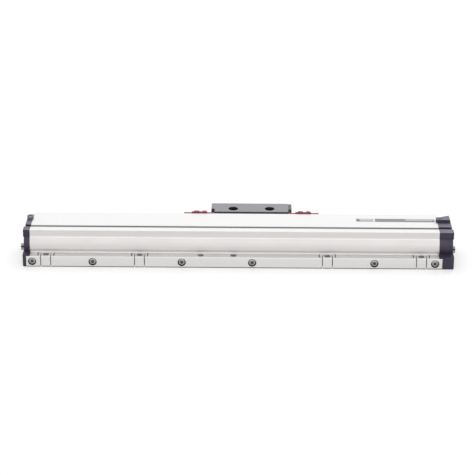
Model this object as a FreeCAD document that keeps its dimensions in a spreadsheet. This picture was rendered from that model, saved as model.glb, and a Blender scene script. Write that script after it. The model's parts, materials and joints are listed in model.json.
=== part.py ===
"""Sealed linear encoder with a sliding scanning unit, in millimetres.

Frame: +X runs along the encoder, +Y away from the mounting rail's front, +Z up.
The origin is on the axis of the middle mounting hole, in the mounting face.
"""
import FreeCAD
import Part
import os

import Sketcher

SIZES = {
    # extruded housing, drawn as a section across X
    "housing_left_end": 217.4,
    "housing_right_end": 219.2,
    "housing_height": 37.0,
    "housing_front": 6.4,
    "housing_depth": 50.1,
    "band_height": 7.1,
    "band_step": 0.7,
    "bulge_reach": 4.0,
    "bulge_middle": 21.5,
    "bulge_gap": 1.0,
    "bulge_foot_reach": 3.0,
    "ridge_rise": 1.6,
    "ridge_top": 0.4,
    "top_groove_inset": 9.8,
    "top_groove_width": 3.2,
    "top_groove_depth": 1.6,
    "edge_radius": 0.5,
    "front_wall": 5.6,
    "back_wall": 5.5,
    "floor_wall": 4.0,
    "roof_wall": 4.0,
    "chamber_corner": 4.5,
    # slot in the back wall, its lips and the blade between them
    "blade_lift": 2.0,
    "blade_thickness": 2.0,
    "slot_height": 6.0,
    "lip_seat_depth": 3.2,
    "lip_seat_width": 2.4,
    "lip_seat_wall": 1.7,
    "lip_lean": 1.1,
    "lip_gap": 0.2,
    "lip_heel": 0.33,
    # mounting rail along the front
    "rail_left_end": 220.8,
    "rail_right_end": 222.1,
    "rail_front": 6.0,
    "rail_height": 12.0,
    "mounting_hole": 6.6,
    "hole_pitch": 100.0,
    "fixed_pair_pitch": 35.0,
    "slit_width": 0.9,
    "inner_slit_offset": 5.3,
    "inner_slit_end": 3.2,
    "outer_slit_offset": 8.5,
    "outer_slit_end": 3.8,
    "flexure_relief": 0.8,
    # screws that hold the rail
    "rail_screw_level": 6.0,
    "rail_screw_end_place": 214.5,
    "rail_screw_outer_place": 150.0,
    "rail_screw_left_place": 55.0,
    "rail_screw_right_place": 20.0,
    "rail_screw_head": 7.0,
    "rail_screw_head_height": 4.0,
    "rail_screw_shank": 4.0,
    "rail_screw_grip": 3.2,
    "rail_screw_socket": 3.0,
    "rail_counterbore": 8.6,
    "rail_screw_recess": 0.8,
    # end caps
    "left_cap_end": 224.6,
    "right_cap_end": 234.5,
    "cap_front_lip": 1.2,
    "cap_lip_slope": 0.8,
    "cap_ledge_cover": 0.4,
    "cap_groove_width": 5.6,
    "cap_groove_depth": 3.0,
    "cap_round": 1.2,
    "cap_slope_run": 6.5,
    "cap_slope_drop": 4.3,
    "cap_end_recess": 0.9,
    "cap_end_recess_low": 13.6,
    "cap_end_recess_high": 29.6,
    "cap_end_recess_back": 30.0,
    "cap_end_wall": 3.6,
    "cap_pocket_inset": 2.0,
    "cap_pad_inner": 1.6,
    "cap_pad_outer_inset": 2.1,
    "cap_pad_front": 33.4,
    "cap_pad_depth": 12.6,
    "cap_pad_height": 3.7,
    "cap_pad_slant": 7.0,
    "gasket_thickness": 0.8,
    "gasket_overlap": 1.0,
    "gasket_inset": 1.0,
    # screws and plugs in the caps
    "cap_screw_shank": 3.0,
    "cap_screw_head": 5.5,
    "cap_screw_head_height": 3.0,
    "cap_screw_grip": 8.0,
    "cap_screw_socket": 2.5,
    "cap_screw_inset": 0.4,
    "clamp_screw_head": 7.0,
    "clamp_screw_head_height": 4.0,
    "clamp_screw_shank": 3.0,
    "clamp_screw_length": 8.0,
    "clamp_screw_place": 37.6,
    "clamp_screw_offset": 2.7,
    "clamp_screw_socket": 3.0,
    "pad_screw_head": 4.5,
    "pad_screw_head_height": 2.5,
    "pad_screw_shank": 2.5,
    "pad_screw_length": 7.0,
    "pad_screw_socket": 2.0,
    "plug_place": 15.0,
    "plug_level": 14.0,
    "plug_head": 8.2,
    "plug_head_height": 4.6,
    "plug_shank": 5.0,
    "plug_shank_length": 2.4,
    "plug_slot_width": 1.2,
    "plug_slot_depth": 1.4,
    "right_plug_spotface": 1.0,
    # name plate on the roof
    "plate_end_gap": 2.7,
    "plate_length": 85.0,
    "plate_front": 35.2,
    "plate_width": 8.4,
    "plate_thickness": 0.3,
    # glass scale on its rib
    "chamber_parts": 13.0,
    "glass_parts": 4.0,
    "glass_thickness": 4.0,
    "glass_seat": 7.5,
    "glass_end_gap": 4.0,
    "bedding": 0.5,
    "rib_wall": 2.5,
    "rib_top": 9.0,
    # mounting block of the scanning unit
    "head_centre": 18.65,
    "head_hole_pitch": 40.0,
    "head_hole_inset": 9.3,
    "head_hole": 6.6,
    "head_counterbore": 10.6,
    "head_counterbore_depth": 6.8,
    "block_half_length": 43.95,
    "block_front_gap": 2.8,
    "block_depth": 24.5,
    "block_floor": 7.0,
    "block_top": 37.8,
    "block_round": 1.5,
    "notch_length": 3.5,
    "notch_depth": 8.5,
    "pocket_left_wall": 6.3,
    "pocket_right": 48.0,
    "pocket_foot": 1.0,
    "pocket_high": 32.0,
    "pocket_depth": 6.6,
    "back_cover_thickness": 1.6,
    "back_cover_margin": 3.8,
    "back_cover_foot": 4.8,
    "back_cover_high": 36.6,
    "back_cover_screw_inset": 4.2,
    "back_cover_screw_level": 3.0,
    "back_cover_screw_shank": 2.5,
    "back_cover_screw_head": 4.5,
    "back_cover_screw_head_height": 1.2,
    "back_cover_screw_length": 5.0,
    "back_cover_screw_socket": 1.5,
    "end_cover_foot": 5.0,
    "end_cover_high": 37.4,
    "end_cover_gap": 0.4,
    "end_cover_screw_inset": 3.6,
    # electronics in the block
    "board_gap": 1.6,
    "board_thickness": 1.6,
    "board_inset": 1.0,
    "standoff": 3.0,
    "left_chip_place": 13.0,
    "left_chip_half": 5.0,
    "left_chip_height": 1.4,
    "middle_chip_place": 29.2,
    "middle_chip_half": 3.5,
    "middle_chip_height": 1.0,
    "right_chip_place": 44.2,
    "right_chip_half": 6.0,
    "right_chip_height": 2.0,
    "chip_width_share": 0.7,
    "socket_depth": 9.0,
    "socket_inset": 13.8,
    "socket_width": 10.6,
    "socket_margin": 1.5,
    "socket_cavity": 6.0,
    "socket_wall": 1.2,
    "contact_pin": 0.9,
    "contact_pitch": 2.2,
    # blade, coupling wire and signal lead
    "blade_half_length": 24.0,
    "blade_tip": 8.0,
    "blade_root": 4.7,
    "blade_inside": 7.0,
    "blade_shoulder": 4.0,
    "lug_width": 4.0,
    "lug_thickness": 5.0,
    "lug_height": 7.0,
    "blade_lug_offset": 16.0,
    "wire": 1.6,
    "wire_height": 4.0,
    "wire_clearance": 0.05,
    "lead_width": 8.0,
    "lead_thickness": 0.3,
    "lead_clearance": 0.1,
    # scanning carriage astride the glass
    "carriage_half_length": 32.0,
    "carriage_lug_inset": 2.0,
    "carriage_light_side": 8.0,
    "carriage_parts": 9.0,
    "carriage_bottom": 10.0,
    "carriage_roof_gap": 2.0,
    "carriage_bridge": 6.0,
    "carriage_glass_gap": 1.0,
    "carriage_crown_gap": 0.6,
    "optics_half_length": 11.0,
    "optics_foot": 2.0,
    "optics_crown": 3.0,
    "light_unit_depth": 5.5,
    "light_lens_share": 0.5,
    "lens_seat": 0.5,
    "sensor_pocket_share": 0.55,
    "reticle_inset": 0.4,
    "reticle_thickness": 1.2,
    "sensor_board_thickness": 1.6,
    "sensor_chip_length": 12.0,
    "sensor_chip_share": 0.6,
    # rollers that carry the carriage on the glass
    "roller": 6.0,
    "roller_width": 2.5,
    "roller_pin": 2.0,
    "roller_bore_clearance": 0.03,
    "roller_glass_gap": 0.05,
    "roller_pocket_gap": 0.6,
    "roller_side_gap": 0.45,
    "roller_offset": 24.0,
    "middle_roller_offset": 17.0,
    "low_roller_lift": 4.0,
    "high_roller_drop": 5.0,
    "pin_hold": 2.2,
    # red transport braces beside the block
    "brace_gap": 0.3,
    "brace_thickness": 2.3,
    "brace_wing": 29.5,
    "brace_bottom": 8.0,
    "brace_wing_top": 37.2,
    "brace_top": 38.3,
    "brace_ear_drop": 6.0,
    "brace_boss_near": 4.1,
    "brace_boss_length": 17.0,
    "brace_boss_thickness": 2.7,
    "brace_boss_top": 37.0,
    "brace_rib_top": 38.9,
    "brace_rib_thickness": 3.2,
    "brace_wide_rib": 5.6,
    "brace_narrow_rib": 4.0,
    "brace_rib_inset": 2.6,
    "brace_screw_low": 14.5,
    "brace_screw_high": 27.0,
    "brace_screw_shank": 3.0,
    "brace_screw_head": 5.0,
    "brace_screw_head_height": 1.6,
    "brace_screw_length": 8.0,
    "brace_screw_socket": 2.0,
    # room round screws and their heads
    "screw_clearance": 0.05,
    "drill_overrun": 0.2,
    "head_bore_room": 0.4,
    "flat_head_room": 0.2,
}

doc = FreeCAD.newDocument("linear_encoder")
sheet = doc.addObject("Spreadsheet::Sheet", "Sizes")


class Size:
    """A length in millimetres, with the sheet expression that gives it."""

    def __init__(self, value, text):
        self.value = value
        self.text = text

    def __add__(self, other):
        other = as_size(other)
        return Size(self.value + other.value, f"({self.text} + {other.text})")

    def __radd__(self, other):
        return as_size(other) + self

    def __sub__(self, other):
        other = as_size(other)
        return Size(self.value - other.value, f"({self.text} - {other.text})")

    def __rsub__(self, other):
        return as_size(other) - self

    def __mul__(self, factor):
        factor = as_size(factor)
        return Size(self.value * factor.value, f"({self.text} * {factor.text})")

    def __rmul__(self, factor):
        return as_size(factor) * self

    def __truediv__(self, divisor):
        divisor = as_size(divisor)
        return Size(self.value / divisor.value, f"({self.text} / {divisor.text})")

    def __neg__(self):
        return Size(-self.value, f"(0 - {self.text})")


def as_size(number):
    """A plain number as a Size, and a Size as it is."""
    if isinstance(number, Size):
        return number
    if number < 0:
        return Size(float(number), f"(0 - {-float(number)})")
    return Size(float(number), f"{float(number)}")


class Sizes:
    """Every driving dimension of the sheet, by its alias."""


s = Sizes()
for row, (alias, number) in enumerate(SIZES.items(), start=1):
    sheet.set(f"A{row}", alias.replace("_", " "))
    sheet.set(f"B{row}", str(number))
    sheet.setAlias(f"B{row}", alias)
    setattr(s, alias, Size(number, f"Sizes.{alias}"))
doc.recompute()

X_AXIS = FreeCAD.Vector(1, 0, 0)
Y_AXIS = FreeCAD.Vector(0, 1, 0)
Z_AXIS = FreeCAD.Vector(0, 0, 1)
DIRECTIONS = {
    "+x": FreeCAD.Rotation(Y_AXIS, 90),
    "-x": FreeCAD.Rotation(Y_AXIS, -90),
    "+y": FreeCAD.Rotation(X_AXIS, -90),
    "-y": FreeCAD.Rotation(X_AXIS, 90),
    "+z": FreeCAD.Rotation(),
    "-z": FreeCAD.Rotation(X_AXIS, 180),
}
MARGIN = 1.0
HEX_CORNER = 1.1547
KEY_DEPTH_SHARE = 0.55
CORNER_GROWTH = 0.586
nodes = []


def bind(thing, prop, size):
    """Ties one property of an object to the sheet."""
    thing.setExpression(prop, as_size(size).text)


def put(thing, at, direction="+z"):
    """Turns an object to a direction and binds its place."""
    thing.Placement = FreeCAD.Placement(FreeCAD.Vector(), DIRECTIONS[direction])
    for axis, size in zip("xyz", at):
        bind(thing, f"Placement.Base.{axis}", size)
    return thing


def block(name, along_x, along_y, along_z):
    """A box between two places on each axis."""
    made = doc.addObject("Part::Box", name)
    for prop, (low, high) in zip(("Length", "Width", "Height"), (along_x, along_y, along_z)):
        bind(made, prop, as_size(high) - low)
    return put(made, (along_x[0], along_y[0], along_z[0]))


def rod(name, diameter, length, at, direction="+z"):
    """A cylinder that starts at a place and runs in a direction."""
    made = doc.addObject("Part::Cylinder", name)
    bind(made, "Radius", as_size(diameter) / 2)
    bind(made, "Height", length)
    return put(made, at, direction)


def hexagon(name, across_flats, length, at, direction="+z"):
    """A six-sided prism, given by its width across flats."""
    made = doc.addObject("Part::Prism", name)
    made.Polygon = 6
    bind(made, "Circumradius", as_size(across_flats) * HEX_CORNER / 2)
    bind(made, "Height", length)
    return put(made, at, direction)


def join(name, parts):
    """One solid from several that meet."""
    made = doc.addObject("Part::MultiFuse", name)
    made.Shapes = parts
    made.Refine = True
    return made


def cut(name, base, tools):
    """A base with one or more tools taken out."""
    made = doc.addObject("Part::Cut", name)
    made.Base = base
    made.Tool = tools[0] if len(tools) == 1 else join(f"{name}_tools", tools)
    made.Refine = True
    return made


def group(name, parts):
    """Separate like solids that share one node."""
    made = doc.addObject("Part::Compound", name)
    made.Links = parts
    return made


def node(label, thing):
    """Names a finished sub-part and keeps it for export."""
    thing.Label = label
    nodes.append(thing)
    return thing


def corner_vector(corner):
    """The numbers of a corner, for the first drawing of a sketch."""
    return FreeCAD.Vector(as_size(corner[0]).value, as_size(corner[1]).value, 0)


def pin_point(sketch, geometry, end, corner):
    """Holds a point of a sketch at its two sizes from the origin."""
    for kind, size in zip(("DistanceX", "DistanceY"), corner[:2]):
        size = as_size(size)
        number = sketch.addConstraint(Sketcher.Constraint(kind, -1, 1, geometry, end, size.value))
        bind(sketch, f"Constraints[{number}]", size)


def draw(sketch, path):
    """Closed outline: corners, each with the place an arc to it passes through, if any."""
    corners = [corner_vector(corner) for corner in path]
    spans = []
    for number, corner in enumerate(corners):
        before = corners[number - 1]
        near, far = 1, 2
        if len(path[number]) == 3:
            through = corner_vector(path[number][2])
            if (through - before).cross(corner - through).z < 0:
                near, far = 2, 1
                curve = Part.Arc(corner, through, before)
            else:
                curve = Part.Arc(before, through, corner)
        else:
            curve = Part.LineSegment(before, corner)
        spans.append((sketch.addGeometry(curve, False), near, far))
    for number, (span, near, far) in enumerate(spans):
        last_span, _, last_far = spans[number - 1]
        sketch.addConstraint(Sketcher.Constraint("Coincident", last_span, last_far, span, near))
        pin_point(sketch, span, far, path[number])
        if len(path[number]) == 3:
            through = path[number][2]
            mark = sketch.addGeometry(Part.Point(corner_vector(through)), True)
            pin_point(sketch, mark, 1, through)
            sketch.addConstraint(Sketcher.Constraint("PointOnObject", mark, 1, span))


def extrusion(name, plane, path, start, end):
    """A body padded from an outline on a plane, between two places on its normal."""
    body = doc.addObject("PartDesign::Body", name)
    sketch = body.newObject("Sketcher::SketchObject", f"{name}_outline")
    base = [item for item in body.Origin.OriginFeatures if item.Role == plane][0]
    sketch.AttachmentSupport = [(base, "")]
    sketch.MapMode = "FlatFace"
    bind(sketch, "AttachmentOffset.Base.z", start)
    draw(sketch, path)
    pad = body.newObject("PartDesign::Pad", f"{name}_pad")
    pad.Profile = sketch
    bind(pad, "Length", as_size(end) - start)
    sketch.Visibility = False
    return body


def round_edges(body, name, radius, wanted):
    """Fillets the edges of a body that a test picks by their two ends."""
    doc.recompute()
    tip = body.Tip
    picked = []
    for number, edge in enumerate(tip.Shape.Edges, start=1):
        ends = [vertex.Point for vertex in edge.Vertexes]
        if len(ends) == 2 and wanted(*ends):
            picked.append(f"Edge{number}")
    fillet = body.newObject("PartDesign::Fillet", name)
    fillet.Base = (tip, picked)
    bind(fillet, "Radius", radius)
    body.Tip = fillet
    return body


def same(first, second):
    """Whether two coordinates agree."""
    return abs(first - as_size(second).value) < 0.001


def cap_screw(name, kind, length, at, direction):
    """A socket head screw whose head's underside is at a place, its shank running on."""
    head, height, shank, socket = kind
    parts = [
        rod(f"{name}_head", head, height, (0, 0, -height)),
        rod(f"{name}_shank", shank, length + MARGIN, (0, 0, -MARGIN)),
    ]
    depth = height * KEY_DEPTH_SHARE
    key = hexagon(f"{name}_key", socket, depth + MARGIN, (0, 0, -height - MARGIN))
    screw = cut(name, join(f"{name}_body", parts), [key])
    return put(screw, at, direction)


def screw_hole(name, shank, length, at, direction):
    """The hole that a screw's shank goes into."""
    return rod(name, shank + 2 * s.screw_clearance, length + s.drill_overrun, at, direction)


# Places that several sub-parts share
housing_left = -s.housing_left_end
housing_right = s.housing_right_end
housing_back = s.housing_front + s.housing_depth
rail_left = -s.rail_left_end
rail_right = s.rail_right_end
left_cap_face = -s.left_cap_end
right_cap_face = s.right_cap_end
ridge_front = s.housing_front - s.ridge_top - s.ridge_rise
ridge_level = s.rail_height + s.ridge_rise
bulge_foot = ridge_level + s.bulge_gap
chamber_front = s.housing_front + s.front_wall
chamber_back = housing_back - s.back_wall
chamber_floor = s.floor_wall
chamber_roof = s.housing_height - s.roof_wall
groove_front = s.housing_front + s.top_groove_inset
chamber_part = (chamber_back - chamber_front) / s.chamber_parts
glass_front = chamber_front + chamber_part * s.glass_parts
glass_back = glass_front + s.glass_thickness
carriage_front = glass_front - s.carriage_light_side
carriage_back = chamber_front + chamber_part * s.carriage_parts
carriage_top = chamber_roof - s.carriage_roof_gap
glass_top = carriage_top - s.carriage_bridge
channel_front = glass_front - s.carriage_glass_gap
channel_back = glass_back + s.carriage_glass_gap
sensor_back = channel_back + (carriage_back - channel_back) * s.sensor_pocket_share
optics_low = s.carriage_bottom + s.optics_foot
optics_high = glass_top - s.optics_crown
optics_middle = (optics_low + optics_high) / 2
blade_level = optics_middle + s.blade_lift
blade_low = blade_level - s.blade_thickness / 2
blade_high = blade_level + s.blade_thickness / 2
blade_inner = chamber_back - s.blade_inside
slot_low = blade_level - s.slot_height / 2
slot_high = blade_level + s.slot_height / 2
lip_front = chamber_back + s.lip_seat_wall
lip_back = lip_front + s.lip_seat_width
head = s.head_centre
block_front = housing_back + s.block_front_gap
block_back = block_front + s.block_depth
head_holes = block_front + s.head_hole_inset
pocket_low = blade_low - s.pocket_foot
block_bottom = pocket_low - s.block_floor
back_cover_low = pocket_low - s.back_cover_foot
end_cover_low = pocket_low - s.end_cover_foot
block_left = head - s.block_half_length
cover_face = head + s.block_half_length
block_right = cover_face - s.notch_length
notch_side = block_left + s.notch_length
notch_back = block_front + s.notch_depth

RAIL_SCREW = (s.rail_screw_head, s.rail_screw_head_height, s.rail_screw_shank, s.rail_screw_socket)
CAP_SCREW = (s.cap_screw_head, s.cap_screw_head_height, s.cap_screw_shank, s.cap_screw_socket)
CLAMP_SCREW = (s.clamp_screw_head, s.clamp_screw_head_height, s.clamp_screw_shank, s.clamp_screw_socket)
PAD_SCREW = (s.pad_screw_head, s.pad_screw_head_height, s.pad_screw_shank, s.pad_screw_socket)
COVER_SCREW = (
    s.back_cover_screw_head,
    s.back_cover_screw_head_height,
    s.back_cover_screw_shank,
    s.back_cover_screw_socket,
)
BRACE_SCREW = (s.brace_screw_head, s.brace_screw_head_height, s.brace_screw_shank, s.brace_screw_socket)


def front_profile():
    """The front of the section from the roof down to the bulge's foot, shared by housing and caps."""
    band_foot = s.housing_height - s.band_height
    bulge_front = s.housing_front - s.bulge_reach
    foot_front = s.housing_front - s.bulge_foot_reach
    return [
        (s.housing_front, s.housing_height),
        (s.housing_front, band_foot),
        (s.housing_front - s.band_step, band_foot),
        (foot_front, bulge_foot, (bulge_front, s.bulge_middle)),
    ]


def top_profile(groove_width, groove_depth):
    """The roof with its groove, from back to front."""
    groove_floor = s.housing_height - groove_depth
    groove_back = groove_front + groove_width
    return [
        (housing_back, s.housing_height),
        (groove_back, s.housing_height),
        (groove_back, groove_floor),
        (groove_front, groove_floor),
        (groove_front, s.housing_height),
    ]


def chamber_profile(grow):
    """The chamber's outline with cut corners, grown by an amount on every side."""
    low_y, high_y = chamber_front - grow, chamber_back + grow
    low_z, high_z = chamber_floor - grow, chamber_roof + grow
    corner = s.chamber_corner + grow * CORNER_GROWTH
    return [
        (low_y + corner, low_z),
        (high_y - corner, low_z),
        (high_y, low_z + corner),
        (high_y, high_z - corner),
        (high_y - corner, high_z),
        (low_y + corner, high_z),
        (low_y, high_z - corner),
        (low_y, low_z + corner),
    ]


def cap_screw_places():
    """Where the cap screws lie in the section, near the chamber's corners."""
    inset = s.cap_screw_inset
    return [
        (across, level)
        for across in (chamber_front + inset, chamber_back - inset)
        for level in (chamber_floor + inset, chamber_roof - inset)
    ]


def rail_screw_places():
    """Where the rail's screws lie along X."""
    return [
        -s.rail_screw_end_place,
        -s.rail_screw_outer_place,
        -s.rail_screw_left_place,
        s.rail_screw_right_place,
        s.rail_screw_outer_place,
        s.rail_screw_end_place,
    ]


def make_housing():
    """Extruded profile with chamber, back slot, lip seats, glass rib and the ridge over the rail."""
    outline = [
        (s.housing_front, 0),
        (housing_back, 0),
        *top_profile(s.top_groove_width, s.top_groove_depth),
        *front_profile(),
        (s.housing_front, bulge_foot),
        (s.housing_front, ridge_level),
        (s.housing_front - s.ridge_top, ridge_level),
        (ridge_front, s.rail_height),
        (s.housing_front, s.rail_height),
    ]
    blank = extrusion("housing_blank", "YZ_Plane", outline, housing_left, housing_right)
    front, height = s.housing_front, s.housing_height

    def long_top_edge(first, second):
        level = same(first.z, height) and same(second.z, height)
        side = same(first.y, front) or same(first.y, housing_back)
        return level and side and same(first.y, second.y)

    round_edges(blank, "housing_top_edges", s.edge_radius, long_top_edge)
    ends = (housing_left - MARGIN, housing_right + MARGIN)
    chamber = extrusion("housing_chamber", "YZ_Plane", chamber_profile(0), *ends)
    tools = [
        block("housing_slot", ends, (chamber_back - MARGIN, housing_back + MARGIN), (slot_low, slot_high)),
        block(
            "housing_lip_seats",
            ends,
            (lip_front, lip_back),
            (slot_low - s.lip_seat_depth, slot_high + s.lip_seat_depth),
        ),
    ]
    grip = s.rail_screw_grip
    for number, place in enumerate(rail_screw_places(), start=1):
        at = (place, front - MARGIN, s.rail_screw_level)
        tools.append(screw_hole(f"housing_rail_hole_{number}", s.rail_screw_shank, grip + MARGIN, at, "+y"))
    for number, (across, level) in enumerate(cap_screw_places(), start=1):
        for side, end, direction in (("left", housing_left, "+x"), ("right", housing_right, "-x")):
            outside = -MARGIN if direction == "+x" else MARGIN
            at = (end + outside, across, level)
            name = f"housing_{side}_cap_hole_{number}"
            tools.append(screw_hole(name, s.cap_screw_shank, s.cap_screw_grip + MARGIN, at, direction))
    shell = cut("housing_shell", cut("housing_tube", blank, [chamber]), tools)
    rib_front = glass_front - s.bedding - s.rib_wall
    rib_back = glass_back + s.bedding + s.rib_wall
    rib = block(
        "housing_rib_blank",
        (housing_left, housing_right),
        (rib_front, rib_back),
        (chamber_floor - MARGIN, s.rib_top),
    )
    seat = block(
        "housing_rib_seat",
        ends,
        (glass_front - s.bedding, glass_back + s.bedding),
        (s.glass_seat - s.bedding, s.rib_top + MARGIN),
    )
    node("housing_profile", join("housing_profile", [shell, cut("housing_rib", rib, [seat])]))


def make_rail():
    """Mounting rail with its holes, the slit flexures at the outer four and the screws' seats."""
    front = -s.rail_front
    back = s.housing_front
    outline = [(front, 0), (back, 0), (back, s.rail_height), (front, s.rail_height)]
    blank = extrusion("rail_blank", "YZ_Plane", outline, rail_left, rail_right)
    through = (-MARGIN, s.rail_height + MARGIN)
    drill = s.rail_height + 2 * MARGIN
    tools = []
    flexures = [-2 * s.hole_pitch, -s.hole_pitch, s.hole_pitch, 2 * s.hole_pitch]
    for number, place in enumerate([*flexures, -s.fixed_pair_pitch, 0], start=1):
        tools.append(rod(f"rail_hole_{number}", s.mounting_hole, drill, (place, 0, -MARGIN)))
    half = s.slit_width / 2
    for number, place in enumerate(flexures, start=1):
        for side in (-1, 1):
            inner = place + side * s.inner_slit_offset
            outer = place + side * s.outer_slit_offset
            mark = f"{number}_{'left' if side < 0 else 'right'}"
            inner_span = (inner - half, inner + half)
            outer_span = (outer - half, outer + half)
            inner_reach = (front - MARGIN, s.inner_slit_end)
            outer_reach = (-s.outer_slit_end, back + MARGIN)
            tools.append(block(f"rail_inner_slit_{mark}", inner_span, inner_reach, through))
            tools.append(block(f"rail_outer_slit_{mark}", outer_span, outer_reach, through))
        reach = s.outer_slit_offset + half
        relief = (back - s.flexure_relief, back + MARGIN)
        tools.append(block(f"rail_relief_{number}", (place - reach, place + reach), relief, through))
    bore = s.rail_screw_head_height + s.rail_screw_recess
    for number, place in enumerate(rail_screw_places(), start=1):
        at = (place, front - MARGIN, s.rail_screw_level)
        tools.append(rod(f"rail_counterbore_{number}", s.rail_counterbore, bore + MARGIN, at, "+y"))
        length = back - front + 2 * MARGIN
        tools.append(screw_hole(f"rail_screw_hole_{number}", s.rail_screw_shank, length, at, "+y"))
    node("mounting_rail", cut("mounting_rail", blank, tools))
    seat = front + bore
    length = back - seat + s.rail_screw_grip
    screws = [
        cap_screw(f"rail_screw_{number}", RAIL_SCREW, length, (place, seat, s.rail_screw_level), "+y")
        for number, place in enumerate(rail_screw_places(), start=1)
    ]
    node("rail_screws", group("rail_screws", screws))


def make_cap(side):
    """Moulded end cap with its gasket, screws, clamp screw and air plug."""
    left = side == "left"
    out = -1 if left else 1
    face = left_cap_face if left else right_cap_face
    inner = housing_left if left else housing_right
    rail_end = rail_left if left else rail_right
    inward = "+x" if left else "-x"
    low, high = (face, inner) if left else (inner, face)

    front = -s.rail_front
    outline = [
        (front, 0),
        (housing_back, 0),
        (housing_back, s.housing_height - s.cap_slope_drop),
        (housing_back - s.cap_slope_run, s.housing_height),
        *top_profile(s.cap_groove_width, s.cap_groove_depth)[1:],
        *front_profile(),
        (front + s.cap_lip_slope, s.rail_height + s.cap_front_lip),
        (front, s.rail_height + s.cap_front_lip - s.cap_lip_slope),
    ]
    blank = extrusion(f"{side}_cap_blank", "YZ_Plane", outline, low, high)

    def outer_edge(first, second):
        at_face = same(first.x, face) and same(second.x, face)
        low_edge = same(first.z, 0) and same(second.z, 0)
        back_edge = same(first.y, housing_back) and same(second.y, housing_back)
        front_edge = same(first.y, front) and same(second.y, front)
        return at_face and (low_edge or back_edge or front_edge)

    round_edges(blank, f"{side}_cap_round", s.cap_round, outer_edge)
    ledge_cover = inner - out * s.cap_ledge_cover
    cover_low, cover_high = (inner, ledge_cover) if left else (ledge_cover, inner)
    cover = block(
        f"{side}_cap_ledge_cover",
        (cover_low, cover_high),
        (front, ridge_front),
        (s.rail_height, s.rail_height + s.cap_front_lip - s.cap_lip_slope),
    )
    parts = [blank, cover]
    if not left:
        pad_near = inner - s.cap_pad_inner
        pad_far = face - s.cap_pad_outer_inset
        pad_back = s.cap_pad_front + s.cap_pad_depth
        pad_outline = [
            (pad_near, s.cap_pad_front),
            (pad_far, s.cap_pad_front),
            (pad_far, pad_back),
            (pad_near, pad_back - s.cap_pad_slant),
        ]
        pad_top = s.housing_height + s.cap_pad_height
        parts.append(extrusion("right_cap_pad", "XY_Plane", pad_outline, s.housing_height, pad_top))
    body = join(f"{side}_cap_body", parts)

    beyond = inner - out * MARGIN
    rail_low, rail_high = (rail_end, beyond) if left else (beyond, rail_end)
    pocket_floor = face - out * (s.cap_end_recess + s.cap_end_wall)
    hollow_low, hollow_high = (pocket_floor, beyond) if left else (beyond, pocket_floor)
    gasket_floor = inner + out * s.gasket_thickness
    seat_low, seat_high = (gasket_floor, beyond) if left else (beyond, gasket_floor)
    outside = face + out * MARGIN
    recess_floor = face - out * s.cap_end_recess
    recess_low, recess_high = (outside, recess_floor) if left else (recess_floor, outside)
    rail_room = [
        (front - MARGIN, -MARGIN),
        (s.housing_front, -MARGIN),
        (s.housing_front, s.rail_height),
        (front - MARGIN, s.rail_height),
    ]
    tools = [
        extrusion(f"{side}_cap_rail_room", "YZ_Plane", rail_room, rail_low, rail_high),
        extrusion(
            f"{side}_cap_pocket",
            "YZ_Plane",
            chamber_profile(-s.cap_pocket_inset),
            hollow_low,
            hollow_high,
        ),
        extrusion(
            f"{side}_cap_gasket_seat",
            "YZ_Plane",
            chamber_profile(s.gasket_overlap),
            seat_low,
            seat_high,
        ),
        block(
            f"{side}_cap_recess",
            (recess_low, recess_high),
            (front - MARGIN, s.cap_end_recess_back),
            (s.cap_end_recess_low, s.cap_end_recess_high),
        ),
        block(
            f"{side}_cap_neck",
            (recess_low, recess_high),
            (groove_front + s.cap_groove_width, housing_back + MARGIN),
            (s.cap_end_recess_high, s.housing_height + MARGIN),
        ),
    ]
    head_seat = face - out * (s.cap_end_recess + s.cap_screw_head_height)
    head_depth = s.cap_end_recess + s.cap_screw_head_height + MARGIN
    screws = []
    for number, (across, level) in enumerate(cap_screw_places(), start=1):
        at = (outside, across, level)
        bore = s.cap_screw_head + s.head_bore_room
        tools.append(rod(f"{side}_cap_head_bore_{number}", bore, head_depth, at, inward))
        span = (inner - face if left else face - inner) + 2 * MARGIN
        tools.append(screw_hole(f"{side}_cap_screw_hole_{number}", s.cap_screw_shank, span, at, inward))
        length = (inner - head_seat if left else head_seat - inner) + s.cap_screw_grip
        name = f"{side}_cap_screw_{number}"
        screws.append(cap_screw(name, CAP_SCREW, length, (head_seat, across, level), inward))

    clamp_x = inner + out * s.clamp_screw_offset
    clamp_seat = s.housing_height
    clamp_at = (clamp_x, s.clamp_screw_place, clamp_seat)
    hole_at = (clamp_x, s.clamp_screw_place, clamp_seat + MARGIN)
    clamp_kind = CLAMP_SCREW if left else PAD_SCREW
    clamp_length = s.clamp_screw_length if left else s.pad_screw_length
    clamp_head, _, clamp_shank, _ = clamp_kind
    tools.append(screw_hole(f"{side}_clamp_hole", clamp_shank, clamp_length + MARGIN, hole_at, "-z"))
    if not left:
        bore = clamp_head + s.head_bore_room
        depth = s.cap_pad_height + MARGIN
        tools.append(rod("right_clamp_bore", bore, depth, clamp_at))

    spotface = 0 if left else s.right_plug_spotface
    plug_seat = recess_floor - out * as_size(spotface)
    plug_at = (outside, s.plug_place, s.plug_level)
    through = s.plug_shank_length + s.cap_end_wall + s.cap_end_recess + 2 * MARGIN
    tools.append(screw_hole(f"{side}_air_hole", s.plug_shank, through, plug_at, inward))
    depth = s.cap_end_recess + as_size(spotface) + MARGIN
    bore = s.plug_head + s.head_bore_room
    tools.append(rod(f"{side}_air_spotface", bore, depth, plug_at, inward))
    node(f"{side}_end_cap", cut(f"{side}_end_cap", body, tools))
    node(f"{side}_cap_screws", group(f"{side}_cap_screws", screws))

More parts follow.
